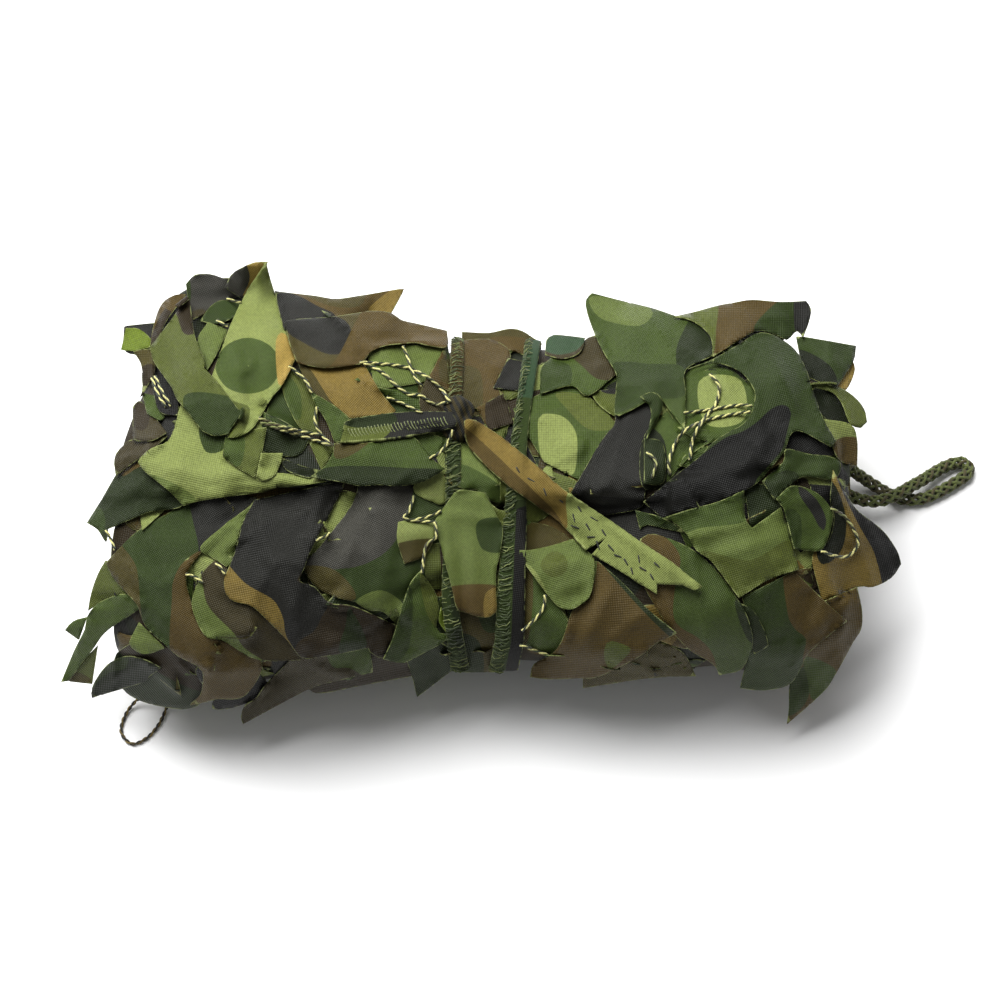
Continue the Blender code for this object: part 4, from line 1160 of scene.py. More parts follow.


# The leaves that the picture shows, lowest first: piece, ink, outline, prints (ink, outline) and rules; a
# few inks and prints are painted shade, marked where they stand
# Heights are in mm and the rest in pixels: lift raises the whole leaf, a crease is x0, y0, x1, y1, height
# and width, and a raise is x, y, height and reach
leaves = [
    # lower left
    ("lowLeft", "deep",
     "112,668! 123,689 139,700 160,706 183,709 197,706! 212,690 200,660 150,640 120,650",
     (("umber", "118,650 150,668 205,690 205,640 130,630"),), {"lift": 1}),
    ("lowLeft", "pine",
     "92,698! 92,688 101,672 111,662 126,656 144,659 162,668! 150,676 144,682 121,689",
     (("deep", "88,700 96,684 110,672 126,668 126,650 90,660"),),
     {"lift": 2, "crease": ((100, 684, 140, 664, 2.5, 3),)}),
    ("lowLeft", "fern", "139,622! 129,643 132,648 142,654 149,654 165,648!", (), {"lift": 2}),
    ("lowLeft", "black", "196,668 214,699! 212,708 226,709 250,702! 268,684 240,664", (), {}),
    ("lowLeft", "umber",
     "290,672! 309,689 322,693 358,686 407,677 440,672! 430,640 340,640",
     (), {}),
    ("lowLeft", "deep", "405,655! 413,680! 417,697! 451,671! 452,640", (), {"lift": 1}),
    ("lowLeft", "taupe",
     "300,640! 368,640! 372,662 373,672! 360,675 340,680 309,689 243,724! 241,716 245,705 256,698 "
     "265,685 290,660!",
     (("leaf", "328,640 372,640 376,680 350,668 332,666"),),
     {"lift": 3, "crease": ((256, 706, 320, 672, 1.5, 5),)}),
    ("lowLeft", "moss", "106,560! 98,574 91,594 88,611! 98,605 126,596! 124,580", (), {"lift": 1}),
    ("lowLeft", "moss",
     "98,645! 92,684! 65,681! 80,664",
     (("olive", "60,690 78,672 100,690"),), {}),
    ("lowLeft", "leaf", "65,630! 73,621 87,617! 79,640!", (), {}),
    ("lowLeft", "leaf",
     "142,604! 126,594 111,597 96,605 87,617 85,629 75,649 61,682! 68,681 83,662 93,649 102,636 "
     "112,627 126,618 138,610!",
     (), {"lift": 3.5, "crease": ((80, 650, 92, 622, 1.6, 3), (96, 612, 130, 602, 1.6, 3))}),
    ("lowLeft", "ivy",
     "106,563! 116,552 139,530 172,511 188,500 215,492 258,498! 228,527 202,552! 191,566 186,579 "
     "188,590 192,605 198,624 207,637 224,640 252,650 262,668 244,696 216,699! 190,705 200,695 "
     "203,680 200,668 178,656 170,649 147,628 138,607 133,600 114,579",
     (("coal", "184,480 190,507 193,521 199,551 192,572 280,560 280,480"),
      ("brown", "199,551 182,564 173,582 172,600 170,650 180,720 290,720 280,640 215,570 206,555"),
      ("olive", "90,560 116,530 122,545 136,566 140,600 140,650 90,640")),
     {"lift": 2, "crease": ((122, 545, 176, 640, 1.8, 9), (150, 530, 210, 690, 2.2, 12))}),
    ("lowLeft", "sage", "139,507! 163,489 178,498! 142,531!", (), {"lift": 2}),
    ("lowLeft", "fern",
     "220,560 207,567 199,580 193,596 192,608 198,624 207,637 224,641 250,657 271,661 301,660! "
     "306,640 280,590 240,570",
     (("taupe", "202,570 203,585 209,607 234,633 250,652 301,675 330,640 250,560 215,555"),),
     {"lift": 2, "crease": ((207, 600, 244, 642, 2.0, 5), (222, 584, 270, 640, 1.6, 7))}),
    ("lowLeft", "fern", "258,500! 240,530 231,566 216,560! 200,548 228,522!", (), {}),
    ("lowLeft", "sage", "342,490! 362,494! 335,535 315,560 296,566! 304,540 330,505", (), {}),
    ("lowMid", "ivy",
     "358,478! 400,482 430,486 446,500! 446,560 430,590 416,586 409,604 396,624! 383,612 368,610 "
     "355,602! 335,597 315,586 302,567! 305,560 315,552 331,532 347,512 356,495",
     (("slate", "340,470 412,470 402,525 393,544 379,557 359,566 338,569 296,572 300,530"),
      ("olive", "296,568 335,570 355,600 300,596"),
      ("fern", "352,604 380,590 404,606 396,630 360,620")),
     {"lift": 2,
      "crease": ((376, 500, 340, 566, 2.2, 9),
                 (416, 540, 404, 610, 2.2, 5),
                 (388, 560, 376, 608, 1.8, 5))}),
    ("lowLeft", "coal",
     "254,500! 300,490 346,480! 342,490 334,506 321,531 310,553 304,569 300,581 315,587 330,603 "
     "353,606 396,625! 391,642 383,658 370,652 368,648! 338,654 307,659! 300,657 286,639 267,620 "
     "251,606 235,602 226,594 224,579 229,567 236,548 243,522",
     (("tan", "215,555 245,583 271,598 279,608 284,621 286,635 301,670 240,660 210,600"),
      ("umber", "296,646 314,631 322,616 328,604 315,586 297,580 330,560 430,600 400,680 300,680"),
      ("deep", "349,606 367,646 339,653 346,624")),
     {"lift": 3,
      "crease": ((262, 522, 290, 610, 2.6, 9),
                 (316, 512, 296, 600, 2.6, 9),
                 (330, 616, 376, 632, 1.6, 6)),
      "raise": ((290, 560, 2.5, 26),)}),
    # left
    ("left", "deep",
     "87,523! 102,499 116,475 129,456! 150,460 172,485 182,506 150,512 125,522 108,529! 106,542 "
     "98,530",
     (("brown", "118,450 140,450 146,462 134,470 122,476"), ("ivy", "84,526 98,506 106,522 100,535")),
     {"lift": 3, "crease": ((96, 518, 150, 478, 2.0, 7),)}),
    ("left", "taupe",
     "114,464! 116,454 124,445 131,440 168,436! 150,452 136,461 116,476!",
     (), {"lift": 5, "crease": ((118, 462, 150, 446, 1.8, 4),)}),
    ("left", "taupe",
     "133,407! 139,401 149,409 167,433! 152,441 133,441!",
     (("umber", "130,400 150,405 146,430 132,425"),), {"lift": 5}),
    ("left", "leaf", "142,393! 166,398! 163,420 147,414!", (), {"lift": 2}),
    ("left", "black", "152,362! 166,376 178,398 178,416! 160,412 152,385", (), {"lift": 3}),
    ("left", "sage",
     "138,462! 142,456 152,448 168,441 175,425 180,406! 206,402 250,412 264,432 262,470 276,473 "
     "289,474 328,481! 306,485 275,488 264,492 225,497 200,501 183,506! 172,494 154,479 144,471",
     (("fern", "148,475 175,484 196,499 184,512 160,500"),
      # painted shade: this ivy print darkens the sage leaf where a shadow lies
      ("ivy", "200,425 228,424 226,448 206,452"),
      ("sage", "236,455 300,468 328,484 290,482 250,476")),
     {"lift": 5,
      "crease": ((150, 464, 206, 476, 2.6, 6),
                 (196, 430, 216, 494, 2.0, 8),
                 (236, 474, 318, 482, 2.4, 6)),
      "raise": ((172, 466, 2.0, 20),)}),
    # top left
    ("topLeft", "pine",
     "158,346! 166,312 186,290 222,284 246,290! 252,312 224,326 200,338!",
     (), {}),
    ("topLeft", "coal", "124,326! 154,323! 158,352 126,352", (), {}),
    ("topLeft", "lime", "126,328! 139,329 151,339 152,347! 134,351 121,350!", (), {"lift": 2}),
    ("topLeft", "slate",
     "186,284! 195,275 210,274 223,278 232,279 246,294! 228,300 212,309 204,314 193,320! 188,298",
     (("taupe", "188,314 206,310 204,328 192,330"), ("ivy", "180,278 190,280 190,304 182,304")),
     {"lift": 4, "crease": ((192, 290, 226, 288, 2.0, 5),)}),
    ("topLeft", "brown",
     "150,346! 154,324 162,304 175,295 186,294! 183,302 176,308 164,326 158,344!",
     (("umber", "150,350 156,325 166,308 172,312 160,348"),),
     {"lift": 5, "crease": ((157, 332, 172, 301, 1.8, 3),)}),
    ("topLeft", "olive",
     "133,351! 154,350 156,368 149,384 138,402! 142,392 142,378 141,364",
     (("umber", "136,372 156,366 150,405 134,405"),), {"lift": 3}),
    ("topLeft", "ivy", "200,321! 210,307 223,300 241,304! 234,317 216,324", (), {"lift": 5}),
    ("topLeft", "fern", "208,322! 228,330! 218,352 207,371! 197,342", (), {"lift": 4}),
    ("topLeft", "slate",
     "225,288! 231,275 241,268 256,262 268,262! 262,276 250,292 242,299!",
     (("straw", "246,255 275,255 252,302 242,298 250,278"),), {"lift": 6}),
    ("topMid", "moss", "308,440! 335,447! 322,472!", (), {}),
    ("topMid", "deep", "262,425! 310,440! 297,456 262,454!", (), {}),
    ("topMid", "pine", "280,457! 302,466 319,470! 310,478 286,470", (), {}),
    ("topMid", "ivy", "278,380! 299,420 301,430 264,420!", (), {}),
    ("topMid", "moss",
     "289,370! 306,383 316,398 319,434! 299,427 281,386",
     (("leaf", "286,376 300,392 300,420 286,410"),), {"lift": 2}),
    ("topLeft", "moss",
     "225,436! 245,431 267,427! 262,453 255,478! 238,468 223,457!",
     (("leaf", "222,440 244,436 240,466 222,460"),),
     {"lift": 2, "crease": ((228, 446, 256, 462, 1.8, 5),)}),
    ("topLeft", "sage", "261,453! 283,453! 281,462 275,475 264,481 256,478!", (), {"lift": 2}),
    ("topLeft", "sage",
     "266,262! 273,288 282,314 288,337 296,358! 283,384 271,399 260,418 251,430 238,437 228,438! "
     "220,406 212,376! 222,347 232,321 248,289 259,273",
     (("leaf", "248,338 270,346 281,366 270,387 248,394 226,387 215,366 226,346"),
      ("straw", "276,340 284,333 298,358 282,386 277,377"),
      ("moss", "212,376 232,400 250,409 240,440 222,440 210,395")),
     {"lift": 6,
      "crease": ((213, 380, 246, 407, 3.0, 4),
                 (252, 300, 268, 372, 1.8, 9),
                 (226, 346, 250, 322, 1.4, 6)),
      "raise": ((262, 340, 2.5, 26),)}),
    ("topLeft", "moss",
     "179,309!< 190,300! 192,318 196,340 204,358 204,368! 212,376 225,392 240,411!< 238,418 228,434! "
     "214,436 202,431! 190,415 176,398 172,388 154,362 150,348! 165,328",
     (("umber", "170,296 196,294 198,330 184,334 178,318"),
      ("ivy", "184,396 226,396 244,412 228,442 198,438")),
     {"lift": 8,
      "crease": ((170, 340, 196, 396, 3.0, 7), (186, 330, 222, 406, 2.4, 6)),
      "raise": ((196, 380, 2.5, 24),),
      "radius": 0.0022,
      "turn": 170}),
    # top middle
    ("topMid", "leaf",
     "362,346! 447,340! 452,380 447,415! 400,422 378,395",
     (("ivy", "380,380 430,392 450,420 380,430"), ("olive", "420,378 452,360 456,410 424,414")), {}),
    ("topMid", "brown",
     "275,291! 289,293 315,296 335,299 359,296 399,289! 404,289 397,303 389,317! 367,320 335,326 "
     "284,330! 278,308",
     (("coal", "274,292 296,295 315,305 336,318 300,334 268,320"),
      ("tan", "368,309 404,284 396,322 380,316"),
      ("olive", "300,290 360,290 360,306 330,306")),
     {"lift": 2, "crease": ((300, 304, 360, 306, 1.6, 6),)}),
    ("topMid", "fern",
     "366,352! 401,345 447,347! 438,362 430,378! 420,383 376,390!",
     (), {"lift": 2}),
    ("topMid", "leaf", "376,387! 424,394! 424,412! 386,399", (), {"lift": 2}),
    ("topMid", "brown",
     "445,346! 452,394! 428,378!",
     (("olive", "440,360 452,360 452,384 440,380"),), {"lift": 1}),
    ("topMid", "taupe",
     "426,378! 439,386 448,399 452,408! 439,414 422,415! 419,399",
     (), {"lift": 2, "crease": ((428, 384, 444, 408, 1.4, 4),)}),
    ("topMid", "tan",
     "296,358! 315,362 362,360! 379,389 396,411! 394,415 370,416 350,419! 340,410 312,395 304,379",
     (("olive", "296,356 312,372 330,400 350,425 300,400"),),
     {"lift": 4,
      "crease": ((312, 370, 356, 412, 2.0, 7), (352, 366, 384, 408, 1.6, 7)),
      "raise": ((340, 384, 1.8, 22),)}),
    ("topMid", "leaf",
     "310,391! 335,406 349,418! 345,432 339,444 334,441! 326,421 315,404",
     (), {"lift": 4, "crease": ((314, 398, 336, 436, 1.6, 4),)}),
    ("topMid", "olive",
     "285,321! 300,319 330,317 358,313 372,311 391,313 401,320 422,325 447,331! 447,347 429,346 "
     "416,343 401,344 385,346 371,352 363,364! 330,368 315,367 297,363! 289,342",
     (("coal", "283,318 288,333 302,342 321,352 334,355 347,352 353,342 351,330 342,319 310,313"),
      ("brown", "378,296 460,316 460,364 384,350 360,362 346,370 290,374 290,358 330,366")),
     {"lift": 6,
      "crease": ((298, 352, 350, 360, 2.4, 5),
                 (366, 330, 440, 338, 2.0, 6),
                 (300, 328, 340, 336, 1.6, 8)),
      "raise": ((330, 344, 3.0, 24), (400, 332, 2.0, 22))}),
    ("topMid", "leaf", "414,432! 442,438 436,456 418,452!", (), {"lift": 1}),
    ("topMid", "sage", "418,472! 437,468 445,477 446,504 439,505! 414,492", (), {"lift": 1}),
    ("topMid", "leaf",
     "334,443! 366,443 400,438 415,438 430,457 445,469! 425,481 400,486 379,485 359,486 340,482 "
     "310,477! 317,472 325,466 333,452",
     (("deep", "326,468 360,466 404,468 446,472 400,496 296,482"),
      ("olive", "340,436 370,440 350,456 334,458")),
     {"lift": 7,
      "crease": ((340, 456, 428, 460, 3.0, 8), (330, 476, 410, 478, 2.0, 6)),
      "raise": ((380, 458, 2.5, 30),)}),
    # waist, under the straps
    ("waist", "olive",
     "462,332! 489,333 508,329 522,331 542,344! 530,356 508,350 486,350 464,348",
     (("brown", "490,338 530,340 530,362 486,356"),),
     {"lift": 2, "crease": ((470, 338, 530, 338, 1.4, 4),)}),
    ("waist", "brown",
     "462,340! 493,340 511,356 495,387 504,393 478,409 458,402!",
     (("olive", "455,370 480,372 480,415 455,410"),),
     {"lift": 2, "crease": ((470, 350, 500, 372, 1.6, 6),)}),
    ("waist", "coal", "508,358! 526,362! 519,391! 493,388!", (), {"lift": 1}),
    ("waist", "brown",
     "476,408! 504,393! 514,423! 489,431!",
     (("umber", "488,396 520,390 520,436 490,434"),),
     {"lift": 2, "crease": ((487, 402, 494, 428, 1.8, 3),)}),
    ("waist", "fern",
     "455,438! 470,446 503,480! 502,503 480,496 456,486!",
     (("leaf", "456,464 500,486 500,510 450,500"),),
     {"lift": 2, "crease": ((464, 452, 492, 488, 1.4, 4),)}),
    ("waist", "olive",
     "452,608! 498,606! 500,672! 458,672!",
     (("deep", "452,636 478,640 482,676 450,676"), ("ivy", "478,604 500,604 500,630 484,630")),
     {"lift": 1, "crease": ((468, 618, 474, 664, 1.6, 4),)}),
    ("waist", "moss",
     "500,440! 520,430! 540,470! 560,500 530,524 500,500!",
     (("black", "500,430 540,430 540,462 510,462"),), {}),
]
leaves += [
    # right
    ("rightTop", "leaf",
     "513,409! 540,394 572,383! 602,408 618,425! 600,452 579,480! 544,462! 528,436",
     (("sage", "538,420 550,414 565,418 576,433 577,456 571,476 544,466"),
      ("moss", "556,392 600,400 620,425 590,430 566,408")),
     {"lift": 4,
      "crease": ((532, 418, 578, 404, 2.0, 7), (560, 440, 596, 430, 2.0, 8)),
      "raise": ((560, 424, 2.0, 24),)}),
    ("rightTop", "moss",
     "590,392! 617,388! 618,416 600,406",
     (("coal", "598,378 620,378 620,393 602,392"),), {"lift": 2}),
    ("rightTop", "leaf",
     "540,369! 553,357 567,359 578,355 585,340 597,335! 607,355 617,374! 588,396 572,386 540,394!",
     (("ivy", "536,362 570,366 566,392 536,400"), ("taupe", "570,350 600,330 620,374 600,380 584,368")),
     {"lift": 4, "crease": ((548, 378, 604, 364, 2.4, 6),)}),
    ("rightTop", "teal",
     "546,341! 554,335 585,338! 583,348 577,355 562,359 545,355!",
     (("taupe", "540,350 556,355 576,351 588,340 590,362 545,366"),), {"lift": 3}),
    ("right", "coal",
     "615,412! 641,402 655,403! 650,433 648,465 644,504! 636,510 601,516! 573,499 571,492! 602,440 "
     "614,425",
     (("black", "570,488 600,496 640,500 640,520 570,515"),),
     {"lift": 4, "crease": ((630, 416, 604, 500, 2.4, 8), (590, 478, 630, 500, 1.8, 7))}),
    ("right", "leaf",
     "684,368! 720,362 757,392! 748,428 700,448 664,484 642,486 644,436 682,396",
     (("pine", "640,430 664,440 664,490 636,490"), ("sage", "700,380 740,380 744,420 706,424")), {}),
    # dark olive cloth in pleats, inked darker still: partly its own colour, partly painted shade of the
    # pleats
    ("right", "deep",
     "644,438! 663,444 664,482 644,484!",
     (), {"lift": 2, "crease": ((652, 444, 654, 478, 1.8, 3),)}),
    # painted shade: sage cloth lying in shadow, given the dark deep ink
    ("right", "deep", "744,484! 778,484! 784,512 750,530!", (), {}),
    ("right", "black", "810,484! 848,486! 852,556! 818,560!", (), {}),
    # painted shade: a black sheet lying in a dark hollow
    ("right", "black", "784,426! 802,426 834,436 836,456! 810,456 784,452!", (), {"lift": 1}),
    ("right", "straw", "850,356! 855,369 849,386 843,391 833,388! 838,366", (), {"lift": 1}),
    ("right", "pine",
     "810,390! 821,386 834,391 844,404 852,426! 828,421 813,403!",
     (), {"lift": 1}),
    ("right", "moss",
     "810,386!< 835,386 853,396 864,409 867,422! 861,428! 850,424 842,404 833,393 820,389!",
     (), {"lift": 4, "radius": 0.0014, "turn": 150}),
    ("right", "ivy",
     "796,337! 805,337 856,346! 853,362 837,387! 822,383 807,377! 800,357",
     (("pine", "796,350 830,366 836,392 800,384"),),
     {"lift": 4, "crease": ((806, 356, 842, 366, 2.4, 6),)}),
    ("right", "sage",
     "823,419! 850,424 857,439 857,466! 840,461 832,446",
     (("brown", "836,440 862,440 862,470 836,466"),), {"lift": 3}),
    ("rightTop", "ivy", "720,352! 740,322 786,318! 786,336 772,350 740,362!", (), {}),
    ("rightTop", "leaf",
     "592,293! 622,301 651,308 675,316! 693,321 711,336 713,356! 686,370 686,395 685,430! 657,394! "
     "641,405 619,416 614,414! 616,388 616,374 605,355 595,335 587,312 586,300",
     (("deep", "682,372 716,356 716,336 694,318 684,330 676,352"),
      ("ivy", "610,366 650,364 684,368 684,396 650,400 612,412"),
      ("fern", "592,296 650,308 640,326 600,318")),
     {"lift": 6,
      "crease": ((652, 320, 680, 366, 3.4, 4),
                 (598, 310, 646, 330, 2.2, 9),
                 (616, 388, 672, 378, 2.4, 7)),
      "raise": ((630, 334, 3.0, 26), (694, 340, 2.5, 16), (650, 386, 2.0, 18))}),
    ("rightTop", "ivy", "640,397! 650,392 660,396 662,410 646,441! 651,410", (), {"lift": 2}),
    ("rightTop", "brown",
     "673,317! 695,312 717,306 733,303 752,300 780,302 806,301! 811,309 809,322 803,338! 797,331 "
     "787,340 776,335 757,331 735,343 713,357! 710,336 692,321",
     (("moss", "664,310 714,298 716,330 711,356 688,336"),
      ("ivy", "754,332 766,312 790,296 796,322 788,342"),
      ("coal", "794,324 796,296 818,296 812,342 798,336")),
     {"lift": 4,
      "crease": ((714, 316, 770, 312, 2.2, 8), (722, 346, 752, 328, 1.8, 5)),
      "raise": ((740, 316, 2.0, 22),)}),
    ("right", "ivy",
     "688,369! 713,359 738,345 755,334 766,333 779,338 795,350 806,369 812,388 823,418 836,441! "
     "831,447! 796,431 783,453 761,480! 750,488 739,493 719,503 688,510 663,519! 643,502! 652,495 "
     "680,472 700,456 713,442 729,432 743,424 752,411 755,395 752,386 742,373 725,365 713,364",
     (("black",
       "636,502 652,494 698,458 725,438 742,432 757,422 771,409 782,405 789,408 791,414 787,432 "
       "782,450 769,465 756,480 750,492 719,508 688,514 663,524"),),
     {"lift": 7,
      "crease": ((702, 480, 744, 464, 3.0, 7),
                 (770, 352, 792, 402, 2.6, 8),
                 (712, 362, 760, 342, 1.6, 6),
                 (744, 466, 772, 430, 2.0, 7)),
      "raise": ((784, 380, 3.0, 22), (730, 470, 2.0, 22))}),
    ("right", "ivy",
     "762,481! 783,462 786,449 809,454 828,456 840,462 840,472 834,481! 818,478 802,477 789,486 "
     "775,501!",
     (("deep", "760,486 786,470 800,480 776,504"),),
     {"lift": 4, "crease": ((776, 484, 830, 466, 2.4, 5),)}),
    # lower right
    ("lowRight", "tan",
     "833,470! 841,484 851,502 859,512 883,531 897,551 901,564! 891,578 873,587 858,587 822,601! "
     "812,556 828,541 834,519 830,500",
     (("black", "836,466 838,482 858,524 872,548 878,566 888,590 920,560 890,510 850,470"),
      ("pine", "816,480 834,484 846,520 840,552 818,560")),
     {"lift": 3, "crease": ((842, 500, 868, 572, 2.8, 5), (868, 530, 888, 566, 1.8, 5))}),
    ("lowRight", "ivy", "635,510! 663,518 690,534! 670,530 647,525 640,530!", (), {"lift": 1}),
    ("lowRight", "brown",
     "822,602! 857,587! 862,611 861,629 853,642 835,675 822,693 787,724! 789,708 790,683 800,650",
     (("ivy", "790,680 808,664 812,680 804,705 786,715"),
      ("leaf", "804,656 836,670 824,692 812,700 808,680")),
     {"lift": 2, "crease": ((846, 600, 836, 664, 2.6, 6), (800, 700, 830, 660, 1.8, 5))}),
    ("lowRight", "ivy",
     "742,597! 794,571! 826,602 847,621! 816,646 806,657 791,683 765,690 740,688! 747,658 752,643 "
     "749,624",
     (("brown", "786,560 787,611 795,629 806,639 806,664 862,640 830,586"),
      ("ivy", "740,660 770,664 790,680 760,696 736,692")),
     {"lift": 4, "crease": ((762, 600, 776, 672, 2.8, 8), (800, 590, 822, 630, 2.0, 7))}),
    ("lowRight", "deep", "740,603! 753,610 764,629 769,646! 754,654!", (), {"lift": 1}),
    ("lowRight", "leaf",
     "640,539! 654,534 688,547 713,567 739,601 750,624 753,643 748,658 740,670 719,675! 713,664 "
     "690,650 672,632! 655,606 640,575",
     (("brown", "634,530 658,532 680,556 675,587 675,621 700,639 714,657 716,690 680,670 630,600"),
      ("deep", "735,600 760,600 760,640 748,640")),
     {"lift": 4,
      "crease": ((692, 566, 712, 656, 3.0, 8), (664, 556, 672, 620, 2.0, 6)),
      "raise": ((716, 606, 2.5, 22),)}),
    ("lowRight", "fern",
     "663,518! 676,524 688,536 696,550 710,560 722,575 739,598! 768,580 799,569! 789,529 781,507! "
     "752,528! 745,517 744,490! 720,501 688,510",
     (("leaf", "664,514 744,492 748,520 700,528 684,532"),
      ("moss", "700,552 738,598 800,572 790,540 750,560")),
     {"lift": 5,
      "crease": ((690, 538, 748, 520, 3.4, 4),
                 (716, 556, 784, 536, 2.2, 8),
                 (680, 516, 740, 506, 1.8, 5)),
      "raise": ((750, 552, 2.5, 26),)}),
    ("lowRight", "leaf",
     "776,499! 791,486 809,489 822,497 831,509 833,519 827,541 819,551 794,549! 784,509!",
     (("coal", "797,484 816,499 826,519 822,531 811,512 800,496"),
      ("ivy", "786,510 800,516 800,550 786,548")),
     {"lift": 5, "crease": ((792, 504, 806, 544, 2.4, 5),), "raise": ((800, 520, 2.0, 16),)}),
    # lower middle
    ("lowMid", "olive", "583,672! 583,688! 649,678 696,676! 680,650 640,640 600,650", (), {}),
    ("lowMid", "olive",
     "520,520! 552,527 572,543 547,552 522,556! 518,536",
     (("leaf", "514,496 536,506 530,524 514,524"),), {"lift": 1}),
    ("lowMid", "moss",
     "421,546! 446,546 450,589! 428,590!",
     (("umber", "440,540 452,540 454,590 444,590"),), {"lift": 1}),
    ("lowMid", "sage",
     "398,522! 418,519 437,522! 436,535 424,556 404,564! 397,540",
     (("olive", "392,546 440,540 440,570 396,572"),),
     {"lift": 3, "crease": ((406, 534, 430, 530, 1.8, 5),)}),
    ("lowMid", "leaf",
     "420,571! 434,590 439,609 436,627 440,633 452,634! 442,643 427,651 408,661 400,663 383,659! "
     "392,640 398,620 404,600 411,582",
     (("ivy", "396,590 412,590 408,650 386,662 380,640"), ("moss", "420,570 440,590 440,628 426,612")),
     {"lift": 4, "crease": ((404, 606, 398, 650, 2.0, 4), (418, 594, 422, 648, 2.4, 6))}),
    ("lowMid", "lime", "441,607! 449,622 448,635! 439,622", (), {"lift": 1}),
    ("lowMid", "leaf",
     "525,567! 535,578 547,594 559,607 567,618 569,629 564,646 552,654! 535,649 515,642! 514,600",
     (("olive", "508,566 532,572 528,640 508,650"),),
     {"lift": 3, "crease": ((536, 590, 540, 644, 2.4, 6),), "raise": ((544, 620, 2.0, 16),)}),
    ("lowMid", "brown",
     "599,562! 624,584 649,610 677,633! 655,644 640,656 600,676 579,678 547,679 530,677! 534,664 "
     "552,654 562,640 568,622 574,608 589,597 592,585 592,560",
     (("moss", "604,656 607,642 617,642 631,649 622,660 610,669"),
      ("deep", "598,556 660,592 684,644 648,616"),
      ("fern", "540,600 573,606 590,596 596,556 570,570")),
     {"lift": 4,
      "crease": ((604, 600, 574, 664, 3.0, 9), (640, 616, 610, 640, 2.0, 7)),
      "raise": ((600, 628, 3.0, 26),)}),
    ("lowMid", "fern",
     "516,550! 530,550 550,546 573,539! 585,550 594,559 593,585 589,598! 573,609 559,607 547,594 "
     "535,578 522,560",
     (("moss", "553,551 567,559 565,573 551,577 540,565"), ("sage", "514,556 536,572 548,598 530,590")),
     {"lift": 6,
      "crease": ((540, 572, 580, 560, 2.4, 8), (560, 590, 586, 580, 1.8, 6)),
      "raise": ((566, 572, 2.5, 18),)}),
]
leavesOverStrap = [
    ("lowMid", "fern",
     "449,500! 459,490 486,493! 497,516 503,529 500,555 496,574 497,611! 490,617 479,617 464,612 "
     "459,611! 455,604 452,589 443,555 434,522!",
     (("ivy", "477,522 505,520 505,550 482,549"),
      ("brown", "438,590 506,588 506,630 438,626"),
      ("tan", "486,592 508,590 508,622 486,622")),
     {"lift": 4,
      "crease": ((450, 514, 490, 520, 3.2, 4),
                 (470, 530, 476, 606, 2.6, 8),
                 (450, 560, 466, 596, 1.8, 6)),
      "raise": ((476, 556, 2.0, 20),)}),
]


# Putting the pile together
frontPile = Pile(front, *picture["window"], [woundTree])
mask = shownMask(leaves + leavesOverStrap, frontPile)
sidePieces = [buildSide(row, [woundTree], mask) for row in sides]


def addTrees(pile, trees, raised=0.0):
    for tree in trees:
        for row in range(pile.rows):
            for column in range(pile.columns):
                spot = pile.sight.place(pile.left + column * pile.cell, pile.top + row * pile.cell, 0)
                hit = tree.ray_cast(pile.sight.eye, (spot - pile.sight.eye).normalized())[0]
                if hit is not None:
                    depth = (hit - pile.sight.aim).dot(pile.sight.toward) + raised
                    pile.heights[row, column] = max(pile.heights[row, column], depth)


seenSides = ("leaves_leftEnd", "leaves_rightEnd", "leaves_back", "leaves_foot")
addTrees(frontPile, [piece.tree() for piece in sidePieces if piece.name in seenSides])
print("side leaves laid")

pieces = {}


def layLeaves(rows):
    for number, (name, ink, outline, prints, rules) in enumerate(rows):
        if name not in pieces:
            pieces[name] = ClothPiece("leaves_" + name)
        rules = dict(rules)
        lift = rules.pop("lift", 0) / 1000
        seed = number + len(outline)
        pieces[name].leaf(frontPile, outline, ink, prints, seed=seed, raised=lift, **rules)


layLeaves(leaves)
print("picture leaves:", {name: len(piece.bm.faces) for name, piece in pieces.items()})


# The tie's two straps round the waist
straps = (
    # place is x in metres, a row of run is picture y and the strap's middle x and width there, and the
    # stitches reach to the seam, counted across in eighths
    {
        "name": "strapLeft",
        "node": "tie_band_left",
        "place": -0.0105,
        "run": (
            (326, 458, 11), (360, 457, 12), (408, 455, 12), (433, 453, 14), (504, 453, 14),
            (595, 449, 14), (640, 455, 16), (672, 461, 17),
        ),
        "inks": ("ivy", "brown", "deep"),
        "seam": 8,
    },
    {
        "name": "strapRight",
        "node": "tie_band_right",
        "place": 0.0170,
        "run": (
            (330, 534, 14), (350, 532, 15), (405, 524, 14), (458, 517, 16), (494, 516, 18),
            (520, 515, 22), (600, 511, 27), (640, 510, 28), (672, 503, 28),
        ),
        "inks": ("ivy", "teal", "black"),
        "seam": 4,
    },
)
strapRules = {
    "steps": 120,
    "across": 8,
    "proud": 0.0016,
    "gap": 0.0010,
    "thickness": 0.0011,
    "crown": 0.0007,
    "seenFrom": -0.15,
    "smoothing": 3,
    "floor": 0.0012,
    "weaveStep": 1.4,
    "frayWidth": 6,
    "topFrom": (-0.02, 0.05),
    "printFrom": 0.03,
    "stitchEvery": 0.0011,
    "stitchRadius": 0.00020,
    "stitchStray": 0.0006,
    "stitchLean": (0.2, 0.9),
    "stitchLift": 0.0007,
    "stitchHump": 0.0010,
}


def ringRow(run, y):
    # The strap's middle and width at this picture y
    y = min(max(y, run[0][0]), run[-1][0])
    for low, high in zip(run, run[1:]):
        if y <= high[0]:
            t = (y - low[0]) / (high[0] - low[0])
            return low[1] + (high[1] - low[1]) * t, low[2] + (high[2] - low[2]) * t


